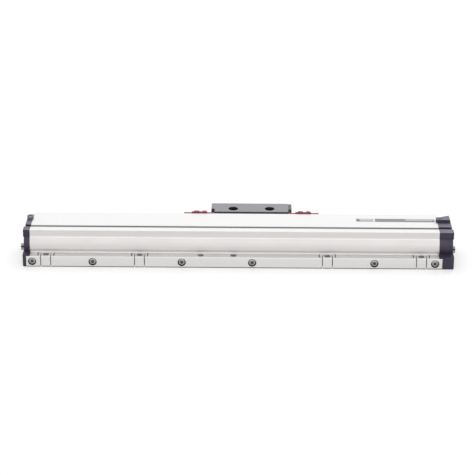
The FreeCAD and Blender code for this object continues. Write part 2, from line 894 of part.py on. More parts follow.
    ring_low, ring_high = (gasket_floor, inner) if left else (inner, gasket_floor)
    ring_profile = chamber_profile(s.gasket_overlap)
    ring = extrusion(f"{side}_gasket_blank", "YZ_Plane", ring_profile, ring_low, ring_high)
    hole = extrusion(
        f"{side}_gasket_hole",
        "YZ_Plane",
        chamber_profile(-s.gasket_inset),
        ring_low - MARGIN,
        ring_high + MARGIN,
    )
    node(f"{side}_cap_gasket", cut(f"{side}_cap_gasket", ring, [hole]))

    clamp = cap_screw(f"{side}_clamp_screw", clamp_kind, clamp_length, clamp_at, "-z")
    node(f"{side}_clamp_screw", clamp)

    outward = "-x" if left else "+x"
    head_at = (plug_seat, s.plug_place, s.plug_level)
    plug_head = hexagon(f"{side}_plug_head", s.plug_head / HEX_CORNER, s.plug_head_height, head_at, outward)
    root_at = (plug_seat + out * MARGIN, s.plug_place, s.plug_level)
    shank = rod(f"{side}_plug_shank", s.plug_shank, s.plug_shank_length + MARGIN, root_at, inward)
    tip = plug_seat + out * s.plug_head_height
    floor = tip - out * s.plug_slot_depth
    past = tip + out * MARGIN
    slot_span = (past, floor) if left else (floor, past)
    reach = s.plug_head / 2 + MARGIN
    slot = block(
        f"{side}_plug_slot",
        slot_span,
        (s.plug_place - reach, s.plug_place + reach),
        (s.plug_level - s.plug_slot_width / 2, s.plug_level + s.plug_slot_width / 2),
    )
    plug = join(f"{side}_plug_body", [plug_head, shank])
    node(f"{side}_air_plug", cut(f"{side}_air_plug", plug, [slot]))


def make_scale():
    """Glass scale, the bedding that holds it in the rib, and the two sealing lips."""
    glass_left = housing_left + s.glass_end_gap
    glass_right = housing_right - s.glass_end_gap
    across = (glass_front, glass_back)
    node("glass_scale", block("glass_scale", (glass_left, glass_right), across, (s.glass_seat, glass_top)))
    bed = block(
        "bedding_blank",
        (glass_left, glass_right),
        (glass_front - s.bedding, glass_back + s.bedding),
        (s.glass_seat - s.bedding, s.rib_top),
    )
    room = block(
        "bedding_room",
        (glass_left - MARGIN, glass_right + MARGIN),
        across,
        (s.glass_seat, s.rib_top + MARGIN),
    )
    node("scale_bedding", cut("scale_bedding", bed, [room]))
    for name, up in (("upper", 1), ("lower", -1)):
        edge = slot_high if up > 0 else slot_low
        root = edge + up * s.lip_seat_depth
        neck = edge - up * s.lip_gap
        tip = blade_level + up * (s.blade_thickness / 2 + s.lip_gap)
        section = [
            (lip_front, root),
            (lip_back, root),
            (lip_back, neck),
            (lip_back + s.lip_lean, tip),
            (lip_back + s.lip_heel, tip),
            (lip_front, neck),
        ]
        lip = extrusion(f"{name}_lip_body", "YZ_Plane", section, housing_left, housing_right)
        node(f"{name}_sealing_lip", lip)


def make_name_plate():
    """Foil plate on the roof."""
    plate_right = housing_right - s.plate_end_gap
    plate = block(
        "name_plate",
        (plate_right - s.plate_length, plate_right),
        (s.plate_front, s.plate_front + s.plate_width),
        (s.housing_height, s.housing_height + s.plate_thickness),
    )
    node("name_plate", plate)


def back_cover_span():
    """Where the block's back cover lies along X."""
    left = block_left + s.pocket_left_wall - s.back_cover_margin
    right = s.pocket_right + 2 * s.back_cover_margin
    return left, right


def back_cover_screw_places():
    """Where the back cover's four screws lie, along X and Z."""
    left, right = back_cover_span()
    inset = s.back_cover_screw_inset
    low = back_cover_low + s.back_cover_screw_level
    high = s.back_cover_high - s.back_cover_screw_level
    return [(across, level) for across in (left + inset, right - inset) for level in (low, high)]


def end_cover_screw_places():
    """Where the end cover's two screws lie, along Y and Z."""
    across = block_back - s.end_cover_screw_inset
    low = end_cover_low + s.end_cover_screw_inset
    high = s.end_cover_high - s.end_cover_screw_inset
    return [(across, low), (across, high)]


def brace_screw_places():
    """Where each brace's two screws lie, along Y and Z."""
    across = (block_front + notch_back) / 2
    return [(across, s.brace_screw_low), (across, s.brace_screw_high)]


def make_block():
    """Mounting block with its holes, blade seat, electronics pocket, covers and their screws."""
    outline = [
        (notch_side, block_front),
        (block_right, block_front),
        (block_right, block_back),
        (block_left, block_back),
        (block_left, notch_back),
        (notch_side, notch_back),
    ]
    blank = extrusion("block_blank", "XY_Plane", outline, block_bottom, s.block_top)

    def back_corner(first, second):
        upright = same(first.x, second.x) and same(first.y, second.y)
        return upright and same(first.y, block_back)

    round_edges(blank, "block_corners", s.block_round, back_corner)
    tools = []
    height = s.block_top - block_bottom + 2 * MARGIN
    for number, side in enumerate((-1, 1), start=1):
        place = head + side * s.head_hole_pitch / 2
        low = block_bottom - MARGIN
        seat = s.block_top - s.head_counterbore_depth
        tools.append(rod(f"block_hole_{number}", s.head_hole, height, (place, head_holes, low)))
        depth = s.head_counterbore_depth + MARGIN
        counterbore_at = (place, head_holes, seat)
        tools.append(rod(f"block_counterbore_{number}", s.head_counterbore, depth, counterbore_at))
    blade_half = (head - s.blade_half_length, head + s.blade_half_length)
    root = block_front + s.blade_root
    blade_reach = (block_front - MARGIN, root)
    tools.append(block("block_blade_seat", blade_half, blade_reach, (blade_low, blade_high)))
    pocket_left = block_left + s.pocket_left_wall
    pocket_front = block_back - s.back_cover_thickness - s.pocket_depth
    lead_half = s.lead_width / 2 + s.lead_clearance
    tools.append(
        block(
            "block_lead_passage",
            (head - lead_half, head + lead_half),
            (root - MARGIN, pocket_front + MARGIN),
            (blade_low - s.lead_clearance, blade_low + s.lead_thickness + s.lead_clearance),
        )
    )
    tools.append(
        block(
            "block_pocket",
            (pocket_left, s.pocket_right),
            (pocket_front, block_back + MARGIN),
            (pocket_low, s.pocket_high),
        )
    )
    cover_left, cover_right = back_cover_span()
    cover_front = block_back - s.back_cover_thickness
    cover_levels = (back_cover_low, s.back_cover_high)
    cover_reach = (cover_front, block_back + MARGIN)
    tools.append(block("block_cover_seat", (cover_left, cover_right), cover_reach, cover_levels))
    socket_front = block_back - s.socket_inset
    socket_across = (socket_front, socket_front + s.socket_width)
    socket_levels = (pocket_low + s.socket_margin, s.pocket_high - s.socket_margin)
    socket_left = block_right - s.socket_depth
    socket_span = (s.pocket_right - MARGIN, block_right + MARGIN)
    tools.append(block("block_socket_seat", socket_span, socket_across, socket_levels))
    cover_drill = s.back_cover_screw_length + MARGIN
    for number, (across, level) in enumerate(back_cover_screw_places(), start=1):
        at = (across, cover_front + MARGIN, level)
        name = f"block_cover_hole_{number}"
        tools.append(screw_hole(name, s.back_cover_screw_shank, cover_drill, at, "-y"))
    for number, (across, level) in enumerate(end_cover_screw_places(), start=1):
        at = (block_right + MARGIN, across, level)
        name = f"block_end_hole_{number}"
        tools.append(screw_hole(name, s.back_cover_screw_shank, cover_drill, at, "-x"))
    brace_sides = [("left", notch_side - MARGIN, "+x"), ("right", block_right + MARGIN, "-x")]
    brace_drill = s.brace_screw_length + MARGIN
    for number, (across, level) in enumerate(brace_screw_places(), start=1):
        for side, place, direction in brace_sides:
            name = f"block_{side}_brace_hole_{number}"
            at = (place, across, level)
            tools.append(screw_hole(name, s.brace_screw_shank, brace_drill, at, direction))
    milled = cut("block_milled", blank, tools)

    board_left = pocket_left + s.board_inset
    board_right = s.pocket_right - s.board_inset
    board_low = pocket_low + s.board_inset
    board_high = s.pocket_high - s.board_inset
    board_front = pocket_front + s.board_gap
    bosses = [milled]
    for number, across in enumerate((board_left + s.standoff, board_right - s.standoff), start=1):
        for level_name, level in (("low", board_low + s.standoff), ("high", board_high - s.standoff)):
            at = (across, pocket_front - MARGIN, level)
            name = f"block_standoff_{number}_{level_name}"
            bosses.append(rod(name, s.standoff, s.board_gap + MARGIN, at, "+y"))
    node("mounting_block", join("mounting_block", bosses))

    board_back = board_front + s.board_thickness
    board_span = (board_left, board_right)
    chips = [block("board_sheet", board_span, (board_front, board_back), (board_low, board_high))]
    middle = (board_low + board_high) / 2
    chip_sizes = [
        ("left", s.left_chip_place, s.left_chip_half, s.left_chip_height),
        ("middle", s.middle_chip_place, s.middle_chip_half, s.middle_chip_height),
        ("right", s.right_chip_place, s.right_chip_half, s.right_chip_height),
    ]
    for name, place, half, tall in chip_sizes:
        centre = board_left + place
        half_width = half * s.chip_width_share
        chips.append(
            block(
                f"board_{name}_chip",
                (centre - half, centre + half),
                (board_back - MARGIN, board_back + tall),
                (middle - half_width, middle + half_width),
            )
        )
    node("circuit_board", join("circuit_board", chips))

    cover = block("back_cover_blank", (cover_left, cover_right), (cover_front, block_back), cover_levels)
    sink = s.back_cover_screw_head_height
    cover_tools = []
    screws = []
    for number, (across, level) in enumerate(back_cover_screw_places(), start=1):
        seat = (across, block_back - sink, level)
        top = (across, block_back + MARGIN, level)
        bore = s.back_cover_screw_head + s.flat_head_room
        cover_tools.append(rod(f"back_cover_bore_{number}", bore, sink + MARGIN, top, "-y"))
        length = s.back_cover_thickness + 2 * MARGIN
        name = f"back_cover_hole_{number}"
        cover_tools.append(screw_hole(name, s.back_cover_screw_shank, length, top, "-y"))
        name = f"back_cover_screw_{number}"
        screws.append(cap_screw(name, COVER_SCREW, s.back_cover_screw_length, seat, "-y"))
    node("back_cover", cut("back_cover", cover, cover_tools))
    node("back_cover_screws", group("back_cover_screws", screws))

    plate = block(
        "end_cover_blank",
        (block_right, cover_face),
        (notch_back + s.end_cover_gap, block_back - s.end_cover_gap),
        (end_cover_low, s.end_cover_high),
    )
    cover_tools = []
    screws = []
    for number, (across, level) in enumerate(end_cover_screw_places(), start=1):
        seat = (cover_face - sink, across, level)
        top = (cover_face + MARGIN, across, level)
        bore = s.back_cover_screw_head + s.flat_head_room
        cover_tools.append(rod(f"end_cover_bore_{number}", bore, sink + MARGIN, top, "-x"))
        length = s.notch_length + 2 * MARGIN
        name = f"end_cover_hole_{number}"
        cover_tools.append(screw_hole(name, s.back_cover_screw_shank, length, top, "-x"))
        length = s.back_cover_screw_length + s.notch_length - sink
        screws.append(cap_screw(f"end_cover_screw_{number}", COVER_SCREW, length, seat, "-x"))
    node("socket_cover", cut("socket_cover", plate, cover_tools))
    node("socket_cover_screws", group("socket_cover_screws", screws))

    shell = block("socket_blank", (socket_left, block_right), socket_across, socket_levels)
    wall = s.socket_wall
    cavity = block(
        "socket_cavity",
        (block_right - s.socket_cavity, block_right + MARGIN),
        (socket_across[0] + wall, socket_across[1] - wall),
        (socket_levels[0] + wall, socket_levels[1] - wall),
    )
    parts = [cut("socket_shell", shell, [cavity])]
    middle_y = (socket_across[0] + socket_across[1]) / 2
    middle_z = (socket_levels[0] + socket_levels[1]) / 2
    for row in (-1, 1):
        for column in (-1, 0, 1):
            at = (
                block_right - s.socket_cavity - MARGIN,
                middle_y + row * s.contact_pitch / 2,
                middle_z + column * s.contact_pitch,
            )
            mark = f"{row + 1}_{column + 1}"
            parts.append(rod(f"socket_pin_{mark}", s.contact_pin, s.socket_cavity, at, "+x"))
    node("connector_socket", join("connector_socket", parts))


def make_blade():
    """Blade through the lips, the lead under it and the wire that couples it to the carriage."""
    half = s.blade_half_length
    tip = half + s.blade_tip
    shoulder = blade_inner + s.blade_shoulder
    point = (shoulder + block_front) / 2
    root = block_front + s.blade_root
    outline = [
        (head - half, root),
        (head - half, block_front),
        (head - tip, point),
        (head - half, shoulder),
        (head - half, blade_inner),
        (head + half, blade_inner),
        (head + half, shoulder),
        (head + tip, point),
        (head + half, block_front),
        (head + half, root),
    ]
    plate = extrusion("blade_plate", "XY_Plane", outline, blade_low, blade_high)
    lug_back = blade_inner + s.lug_width
    lug_left = head + s.blade_lug_offset
    lug_top = blade_high + s.lug_height
    lug = block(
        "blade_lug",
        (lug_left, lug_left + s.lug_thickness),
        (blade_inner, lug_back),
        (blade_high - s.blade_thickness / 2, lug_top),
    )
    wire_y = blade_inner + s.lug_width / 2
    wire_z = blade_high + s.wire_height
    carriage_lug_left = head - s.carriage_half_length + s.carriage_lug_inset
    wire_left = carriage_lug_left + s.lug_thickness / 2
    wire_length = lug_left + s.lug_thickness / 2 - wire_left
    wire_at = (wire_left, wire_y, wire_z)
    bore = s.wire + 2 * s.wire_clearance
    lead_half = s.lead_width / 2 + s.lead_clearance
    tools = [
        rod("blade_wire_hole", bore, wire_length + s.drill_overrun, wire_at, "+x"),
        block(
            "blade_lead_groove",
            (head - lead_half, head + lead_half),
            (blade_inner - MARGIN, root + MARGIN),
            (blade_low - MARGIN, blade_low + s.lead_thickness + s.lead_clearance),
        ),
    ]
    node("blade", cut("blade", join("blade_body", [plate, lug]), tools))
    node("coupling_wire", rod("coupling_wire", s.wire, wire_length, wire_at, "+x"))

    board_front = block_back - s.back_cover_thickness - s.pocket_depth + s.board_gap
    lead = block(
        "signal_lead",
        (head - s.lead_width / 2, head + s.lead_width / 2),
        (sensor_back, board_front),
        (blade_low, blade_low + s.lead_thickness),
    )
    node("signal_lead", lead)
    return wire_at, wire_length, carriage_lug_left, lug_back, lug_top


def roller_places():
    """Each roller: its name, its centre and the direction of its pin."""
    radius = s.roller / 2
    on_edge = glass_top + radius + s.roller_glass_gap
    on_face = glass_back + radius + s.roller_glass_gap
    middle = (glass_front + glass_back) / 2
    low = s.carriage_bottom + s.low_roller_lift
    high = glass_top - s.high_roller_drop
    return [
        ("left_edge", (head - s.roller_offset, middle, on_edge), "+y"),
        ("right_edge", (head + s.roller_offset, middle, on_edge), "+y"),
        ("left_face", (head - s.roller_offset, on_face, low), "+z"),
        ("right_face", (head + s.roller_offset, on_face, low), "+z"),
        ("middle_face", (head + s.middle_roller_offset, on_face, high), "+z"),
    ]


def make_carriage(wire_at, wire_length, lug_left, lug_back, lug_top):
    """Carriage astride the glass, with its optics, sensor, pins and rollers."""
    span = (head - s.carriage_half_length, head + s.carriage_half_length)
    channel = (channel_front, channel_back)
    crown = glass_top + s.carriage_crown_gap
    levels = (s.carriage_bottom, carriage_top)
    blank = block("carriage_blank", span, (carriage_front, carriage_back), levels)
    lug = block(
        "carriage_lug",
        (lug_left, lug_left + s.lug_thickness),
        (carriage_back - MARGIN, lug_back),
        (blade_high + s.lug_width / 2, lug_top),
    )
    optics = (head - s.optics_half_length, head + s.optics_half_length)
    optics_levels = (optics_low, optics_high)
    optics_height = optics_high - optics_low
    lead_half = s.lead_width / 2 + s.lead_clearance
    through = (span[0] - MARGIN, span[1] + MARGIN)
    light_reach = (channel_front - s.light_unit_depth, channel_front + MARGIN)
    tools = [
        block("carriage_channel", through, channel, (s.carriage_bottom - MARGIN, crown)),
        block("carriage_light_pocket", optics, light_reach, optics_levels),
        block("carriage_sensor_pocket", optics, (channel_back - MARGIN, sensor_back), optics_levels),
        block(
            "carriage_lead_slot",
            (head - lead_half, head + lead_half),
            (sensor_back - MARGIN, carriage_back + MARGIN),
            (blade_low - s.lead_clearance, blade_low + s.lead_thickness + s.lead_clearance),
        ),
        rod("carriage_wire_hole", s.wire + 2 * s.wire_clearance, wire_length, wire_at, "+x"),
    ]
    radius = s.roller / 2
    reach = radius + s.roller_pocket_gap
    side_reach = s.roller_width / 2 + s.roller_side_gap
    pin_length = s.roller_width + 2 * s.roller_side_gap + 2 * s.pin_hold
    bore = s.roller_pin + 2 * s.roller_bore_clearance
    pins = []
    rollers = []
    for name, (x, y, z), direction in roller_places():
        if direction == "+y":
            open_top = (crown - MARGIN, carriage_top + MARGIN)
            room = ((x - reach, x + reach), (y - side_reach, y + side_reach), open_top)
            pin_at = (x, y - pin_length / 2, z)
            roller_at = (x, y - s.roller_width / 2, z)
            bore_at = (x, y - s.roller_width / 2 - MARGIN, z)
        else:
            open_front = (channel_back - MARGIN, y + reach)
            room = ((x - reach, x + reach), open_front, (z - side_reach, z + side_reach))
            pin_at = (x, y, z - pin_length / 2)
            roller_at = (x, y, z - s.roller_width / 2)
            bore_at = (x, y, z - s.roller_width / 2 - MARGIN)
        tools.append(block(f"carriage_{name}_room", *room))
        pin_hole = s.roller_pin + 2 * s.screw_clearance
        tools.append(rod(f"carriage_{name}_pin_hole", pin_hole, pin_length, pin_at, direction))
        pins.append(rod(f"{name}_pin", s.roller_pin, pin_length, pin_at, direction))
        disc = rod(f"{name}_disc", s.roller, s.roller_width, roller_at, direction)
        hole = rod(f"{name}_bore", bore, s.roller_width + 2 * MARGIN, bore_at, direction)
        rollers.append((f"{name}_roller", cut(f"{name}_roller", disc, [hole])))
    node("carriage_frame", cut("carriage_frame", join("carriage_body", [blank, lug]), tools))
    node("roller_pins", group("roller_pins", pins))
    for label, roller in rollers:
        node(label, roller)

    light_back = channel_front - s.reticle_inset
    light_front = channel_front - s.light_unit_depth
    light = block("light_body", optics, (light_front, light_back), optics_levels)
    lens_at = (head, light_back - s.lens_seat, optics_middle)
    lens_width = optics_height * s.light_lens_share
    lens = rod("light_lens", lens_width, s.lens_seat + s.reticle_inset, lens_at, "+y")
    node("light_unit", join("light_unit", [light, lens]))
    reticle_front = channel_back + s.reticle_inset
    reticle_back = reticle_front + s.reticle_thickness
    reticle_reach = (reticle_front, reticle_back)
    node("scanning_reticle", block("scanning_reticle", optics, reticle_reach, optics_levels))
    board_front = sensor_back - s.sensor_board_thickness
    chip_half = s.sensor_chip_length / 2
    chip_rise = optics_height * s.sensor_chip_share / 2
    sensor = [
        block("sensor_sheet", optics, (board_front, sensor_back), optics_levels),
        block(
            "sensor_chip",
            (head - chip_half, head + chip_half),
            (reticle_back, board_front + MARGIN),
            (optics_middle - chip_rise, optics_middle + chip_rise),
        ),
    ]
    node("sensor_board", join("sensor_board", sensor))


def make_brace(side):
    """Red transport brace that stands beside the block, close behind the housing."""
    left = side == "left"
    out = -1 if left else 1
    root = notch_side if left else block_right
    block_end = block_left if left else cover_face
    tip = block_end + out * s.brace_wing
    front = housing_back + s.brace_gap
    back = front + s.brace_thickness
    low = s.brace_bottom
    wing = (tip, root) if left else (root, tip)
    ear = (block_end, root) if left else (root, block_end)
    near = block_end + out * s.brace_boss_near
    far = near + out * s.brace_boss_length
    boss = (far, near) if left else (near, far)
    wide_half = s.brace_wide_rib / 2
    narrow_half = s.brace_narrow_rib / 2
    wide = boss[0] + s.brace_rib_inset + wide_half
    narrow = boss[1] - s.brace_rib_inset / 2 - narrow_half
    ribs_back = front + s.brace_rib_thickness
    boss_back = back + s.brace_boss_thickness
    ear_top = s.block_top - s.brace_ear_drop
    parts = [
        block(f"{side}_brace_plate", wing, (front, back), (low, s.brace_wing_top)),
        block(f"{side}_brace_ear", ear, (front, notch_back), (block_bottom, ear_top)),
        block(f"{side}_brace_crest", boss, (front, back), (low, s.brace_top)),
        block(f"{side}_brace_boss", boss, (front, boss_back), (low, s.brace_boss_top)),
        block(
            f"{side}_brace_wide_rib",
            (wide - wide_half, wide + wide_half),
            (front, ribs_back),
            (low, s.brace_rib_top),
        ),
        block(
            f"{side}_brace_narrow_rib",
            (narrow - narrow_half, narrow + narrow_half),
            (front, ribs_back),
            (low, s.brace_rib_top),
        ),
    ]
    inward = "+x" if left else "-x"
    outside = block_end + out * MARGIN
    sink = s.brace_screw_head_height
    seat = block_end - out * sink
    tools = []
    screws = []
    for number, (across, level) in enumerate(brace_screw_places(), start=1):
        top = (outside, across, level)
        bore = s.brace_screw_head + s.flat_head_room
        tools.append(rod(f"{side}_brace_bore_{number}", bore, sink + MARGIN, top, inward))
        span = s.notch_length + 2 * MARGIN
        tools.append(screw_hole(f"{side}_brace_hole_{number}", s.brace_screw_shank, span, top, inward))
        length = s.notch_length - sink + s.brace_screw_length
        name = f"{side}_brace_screw_{number}"
        screws.append(cap_screw(name, BRACE_SCREW, length, (seat, across, level), inward))
    body = join(f"{side}_brace_body", parts)
    node(f"{side}_transport_brace", cut(f"{side}_transport_brace", body, tools))
    return screws


def check_document():
    """Stops if any object of the document failed or any sub-part has no sound shape."""
    for item in doc.Objects:
        if "Invalid" in item.State or "Error" in item.State:
            raise RuntimeError(f"{item.Label}: {item.State}")
    for item in nodes:
        if item.Shape.isNull() or not item.Shape.isValid() or not item.Shape.Solids:
            raise RuntimeError(f"{item.Label} has no sound shape")


make_housing()
make_rail()
make_cap("left")
make_cap("right")
make_scale()
make_name_plate()
make_block()
make_carriage(*make_blade())
brace_screws = make_brace("left") + make_brace("right")
node("brace_screws", group("brace_screws", brace_screws))

doc.recompute()
check_document()
os.makedirs("parts", exist_ok=True)
for item in nodes:
    item.Shape.exportStep(f"parts/{item.Label}.step")
    box = item.Shape.BoundBox
    print(
        f"{item.Label:24s} {len(item.Shape.Solids)} solids  {item.Shape.Volume:10.1f} mm3"
        f"  x {box.XMin:.2f} {box.XMax:.2f}  y {box.YMin:.2f} {box.YMax:.2f}"
        f"  z {box.ZMin:.2f} {box.ZMax:.2f}"
    )
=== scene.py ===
"""Looks of the sealed linear encoder: finishes, detailed pieces, studio and camera."""

import json
import math

import bmesh
import bpy
from mathutils import Matrix, Vector


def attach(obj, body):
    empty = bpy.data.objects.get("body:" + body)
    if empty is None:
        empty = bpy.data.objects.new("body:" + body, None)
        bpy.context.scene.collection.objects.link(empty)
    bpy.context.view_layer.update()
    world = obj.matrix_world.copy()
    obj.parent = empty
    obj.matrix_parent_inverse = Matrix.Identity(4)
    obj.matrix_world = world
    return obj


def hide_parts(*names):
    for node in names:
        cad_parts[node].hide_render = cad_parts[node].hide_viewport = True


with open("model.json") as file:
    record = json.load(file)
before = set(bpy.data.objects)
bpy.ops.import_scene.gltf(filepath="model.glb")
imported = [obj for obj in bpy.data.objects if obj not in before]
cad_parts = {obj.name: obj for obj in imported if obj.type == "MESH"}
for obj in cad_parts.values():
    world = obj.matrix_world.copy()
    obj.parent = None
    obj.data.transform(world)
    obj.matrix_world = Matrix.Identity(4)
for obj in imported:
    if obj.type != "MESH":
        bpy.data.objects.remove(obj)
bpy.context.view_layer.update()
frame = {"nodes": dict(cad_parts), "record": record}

MM = 0.001
SLOT_OF = {part["node"]: part["material_slot"] for part in frame["record"]["subparts"]}

# Places in millimetres, as in the solids. The rail and its screws
RAIL_SCREWS = (-214.5, -150.0, -55.0, 20.0, 150.0, 214.5)
RAIL_SCREW_LEVEL = 6.0
RAIL_SCREW_SEAT = -1.2
COUNTERBORE_RADIUS = 4.3
RAIL_HOLES = (-200.0, -100.0, -35.0, 0.0, 100.0, 200.0)
RAIL_HOLE_RADIUS = 3.3
# Height of the painted shade along the rail's foot
RAIL_FOOT = 0.9
SLITTED_HOLES = (-200.0, -100.0, 100.0, 200.0)
OUTER_SLIT_OFFSET = 8.5
SLIT_HALF_WIDTH = 0.45
SLIT_START = 0.5
RAIL_FRONT, RAIL_TOP = -6.0, 12.0
# Height and depth of the painted highlight along the rail's top front edge
RAIL_EDGE_HEIGHT, RAIL_EDGE_DEPTH = 0.7, 1.2

# The housing's section
RIDGE_LOW, RIDGE_HIGH = 11.9, 13.7
BULGE_FOOT, BULGE_TOP = 14.6, 29.9
BULGE_BACK = 8.0
# Depth of the painted highlight below the bulge's top
BULGE_EDGE = 0.8
# Reach of the painted shade below and above the bulge's foot
FOOT_SHADE_BELOW, FOOT_SHADE_ABOVE = 0.3, 2.2
GROOVE_FRONT, GROOVE_BACK = 16.2, 19.4
GROOVE_FLOOR, ROOF = 35.4, 37.0
# Width of the painted shade on the roof beside the groove
GROOVE_EDGE = 1.3

# The end caps, their screws and the air plugs
CAP_CORNERS = [(y, z) for y in (12.4, 50.6) for z in (4.4, 32.6)]
PAD_SCREW = (221.9, 37.6)
# Radius of the painted light in the pad's bore
PAD_BORE_RADIUS = 2.6
# Level above which the caps' upward faces take painted light
LIT_TOP_LEVEL = 33.0
CLAMP_SCREW = (-220.1, 37.6)
CLAMP_SCREW_NEAR = -212.0
PLUG_LEVEL = 14.0
PLUG_BAND = (0.5, 2.3)

# The scanning unit: block, circuit board and socket
HEAD_HOLES = ((-1.35, 68.6), (38.65, 68.6))
HEAD_BORE_RADIUS = 5.3
BLOCK_FRONT = 59.3
BLOCK_FRONT_DEPTH = 0.6
NOTCH_SIDE, NOTCH_BACK = -21.8, 67.8
NOTCH_DEPTH = 0.3
CHIPS_BEHIND = 78.81
CHIPS_BEFORE = 32.89
CONTACT_CENTRE = (75.3, 24.5)
CONTACT_ROW, CONTACT_COLUMN = 1.1, 2.2
CONTACTS = [
    (CONTACT_CENTRE[0] + CONTACT_ROW * row, CONTACT_CENTRE[1] + CONTACT_COLUMN * column)
    for row in (-1, 1) for column in (-1, 0, 1)
]
CONTACT_RADIUS = 0.5

# The graduated band of the glass, and the name plate on the roof
BAND_LOW, BAND_HIGH = 12.5, 21.5
PLATE_LEFT, PLATE_RIGHT = 131.5, 216.5
PLATE_FRONT, PLATE_BACK = 35.2, 43.6
PLATE_LOW, PLATE_HIGH = 37.0, 37.3
PLATE_EDGE = 0.08
PLATE_LEFT_ROUND, PLATE_RIGHT_ROUND = 0.8, 3.2
CORNER_STEPS = 8
# Left, right, front and back of each printed field, and its grey
PLATE_FIELDS = (
    (132.1, 149.6, 35.9, 42.9, 0.20),
    (133.0, 148.9, 36.7, 42.1, 0.36),
    (133.0, 148.9, 39.4, 42.1, 0.58),
    (133.0, 135.6, 36.7, 42.1, 0.12),
    (152.2, 216.5, 35.2, 43.6, 0.21),
    (185.0, 214.6, 39.2, 42.8, 0.50),
)

# How far a painted patch reaches past the face it belongs to
PAINT_MARGIN = 0.03
# A face looks up where its normal's Z is greater than this
UPWARD = 0.7

# Painted tones: painted shade and painted light first, then the parts' own colours
COUNTERBORE_SHADE = (0.025, 0.022, 0.023)
SLIT_SHADE_AND_PLUG_BAND = (0.03, 0.03, 0.03)
BORE_SHADE = (0.36, 0.35, 0.35)
RAIL_FOOT_SHADE = (0.11, 0.105, 0.105)
RAIL_EDGE_HIGHLIGHT = (0.98, 0.97, 0.955)
ROOF_PAINTED_LIGHT = (0.805, 0.803, 0.80)
BULGE_FOOT_SHADE = (0.62, 0.595, 0.59)
EDGE_HIGHLIGHT = (0.95, 0.93, 0.92)
GROOVE_SHADE = (0.27, 0.267, 0.265)
GROOVE_SIDE_SHADE = (0.50, 0.495, 0.49)
CAP_TOP_LIGHT = (0.145, 0.135, 0.18)
PAD_BORE_LIGHT = (0.30, 0.28, 0.36)
BLOCK_BORE_SHADE = (0.018, 0.017, 0.020)
BLOCK_SHADE = (0.055, 0.045, 0.055)
# The parts' own colours
CLAMP_GREY = (0.165, 0.163, 0.172)
COPPER_GREEN = (0.05, 0.24, 0.09)
CHIP_BLACK = (0.016, 0.016, 0.018)
CONTACT_GOLD = (0.72, 0.47, 0.14)
BAND_GREY = (0.30, 0.31, 0.32)

# Screws: sides of a ring, chamfer and knurl in millimetres, socket depth as a share of the head
SIDES = 72
HEAD_CHAMFER = 0.5
KNURL_DEPTH = 0.08
SOCKET_SHARE = 0.55
# Head, head height, shank and socket of each kind, in millimetres
RAIL_SCREW = (7.0, 4.0, 4.0, 3.0)
CAP_SCREW = (5.5, 3.0, 3.0, 2.5)
KNOB_SCREW = (7.0, 4.0, 3.0, 3.0)
SUNK_SCREW = (4.5, 2.5, 2.5, 2.0)
COVER_SCREW = (4.5, 1.2, 2.5, 1.5)
BRACE_SCREW = (5.0, 1.6, 3.0, 2.0)
LEFT, RIGHT, UP, FRONT, BACK = (-1, 0, 0), (1, 0, 0), (0, 0, 1), (0, -1, 0), (0, 1, 0)

# Meshes: merged points in metres; in degrees, faces taken as flat, edges rounded and kept sharp
MERGE_DISTANCE = 1e-6
FLAT_ANGLE, ROUNDED_ANGLE, SHARP_ANGLE = 0.4, 40, 35
ROUND_SEGMENTS = 2

# Materials: slow change of roughness in features per metre, rays of a softened edge, refraction
BROAD_GRAIN = (35.0, 35.0, 35.0)
EDGE_SAMPLES = 6
REFRACTION = 1.5

# Studio, in metres but for the floor's drop: the floor is darker for bounced than for seen light,
# and its glow grows with the distance from the origin
FLOOR_HALF = 12.0
FLOOR_DROP = 0.05
FLOOR_BOUNCED, FLOOR_SEEN = (0.38, 0.38, 0.38), (0.62, 0.62, 0.62)
FLOOR_ROUGHNESS, FLOOR_SPECULAR = 0.9, 0.1
GLOW_NEAR, GLOW_FAR = 0.48, 0.85
GLOW_START, GLOW_END = 0.7, 4.0
TENT_BOUNCED, TENT_SEEN = 0.41, 1.0
# Name, place, aim, size and power of each lamp, in metres and watts
LAMPS = (
    ("key_lamp", (0.0, -2.3, 1.15), (0.0, 0.02, 0.0), (3.6, 2.0), 38.0),
    ("back_lamp", (0.0, 1.15, 1.45), (0.0, 0.03, 0.0), (2.4, 1.0), 19.5),
)

# Camera, fitted to the photograph: degrees and millimetres, but metres for distance and clip
CAMERA_AZIMUTH, CAMERA_ELEVATION, CAMERA_ROLL = 0.68, 23.24, 0.14
CAMERA_TARGET = (3.97, 25.05, 22.03)
CAMERA_DISTANCE = 1.8826
CAMERA_LENS, CAMERA_SENSOR = 132.5, 36.0
CAMERA_CLIP = (0.05, 60.0)


def wire(tree, output, target):
    """Joins one socket to another."""
    tree.links.new(output, target)


def math_node(tree, operation, first, second):
    """A sum, product or comparison of a socket with a socket or number."""
    node = tree.nodes.new("ShaderNodeMath")
    node.operation = operation
    for place, value in enumerate((first, second)):
        if isinstance(value, (int, float)):
            node.inputs[place].default_value = value
        else:
            wire(tree, value, node.inputs[place])
    return node.outputs["Value"]


def object_place(tree):
    """Where a point lies in the part's own frame."""
    return tree.nodes.new("ShaderNodeTexCoord").outputs["Object"]


def coordinates(tree):
    """The three coordinates of a point in the part's own frame."""
    split = tree.nodes.new("ShaderNodeSeparateXYZ")
    wire(tree, object_place(tree), split.inputs["Vector"])
    return split.outputs["X"], split.outputs["Y"], split.outputs["Z"]


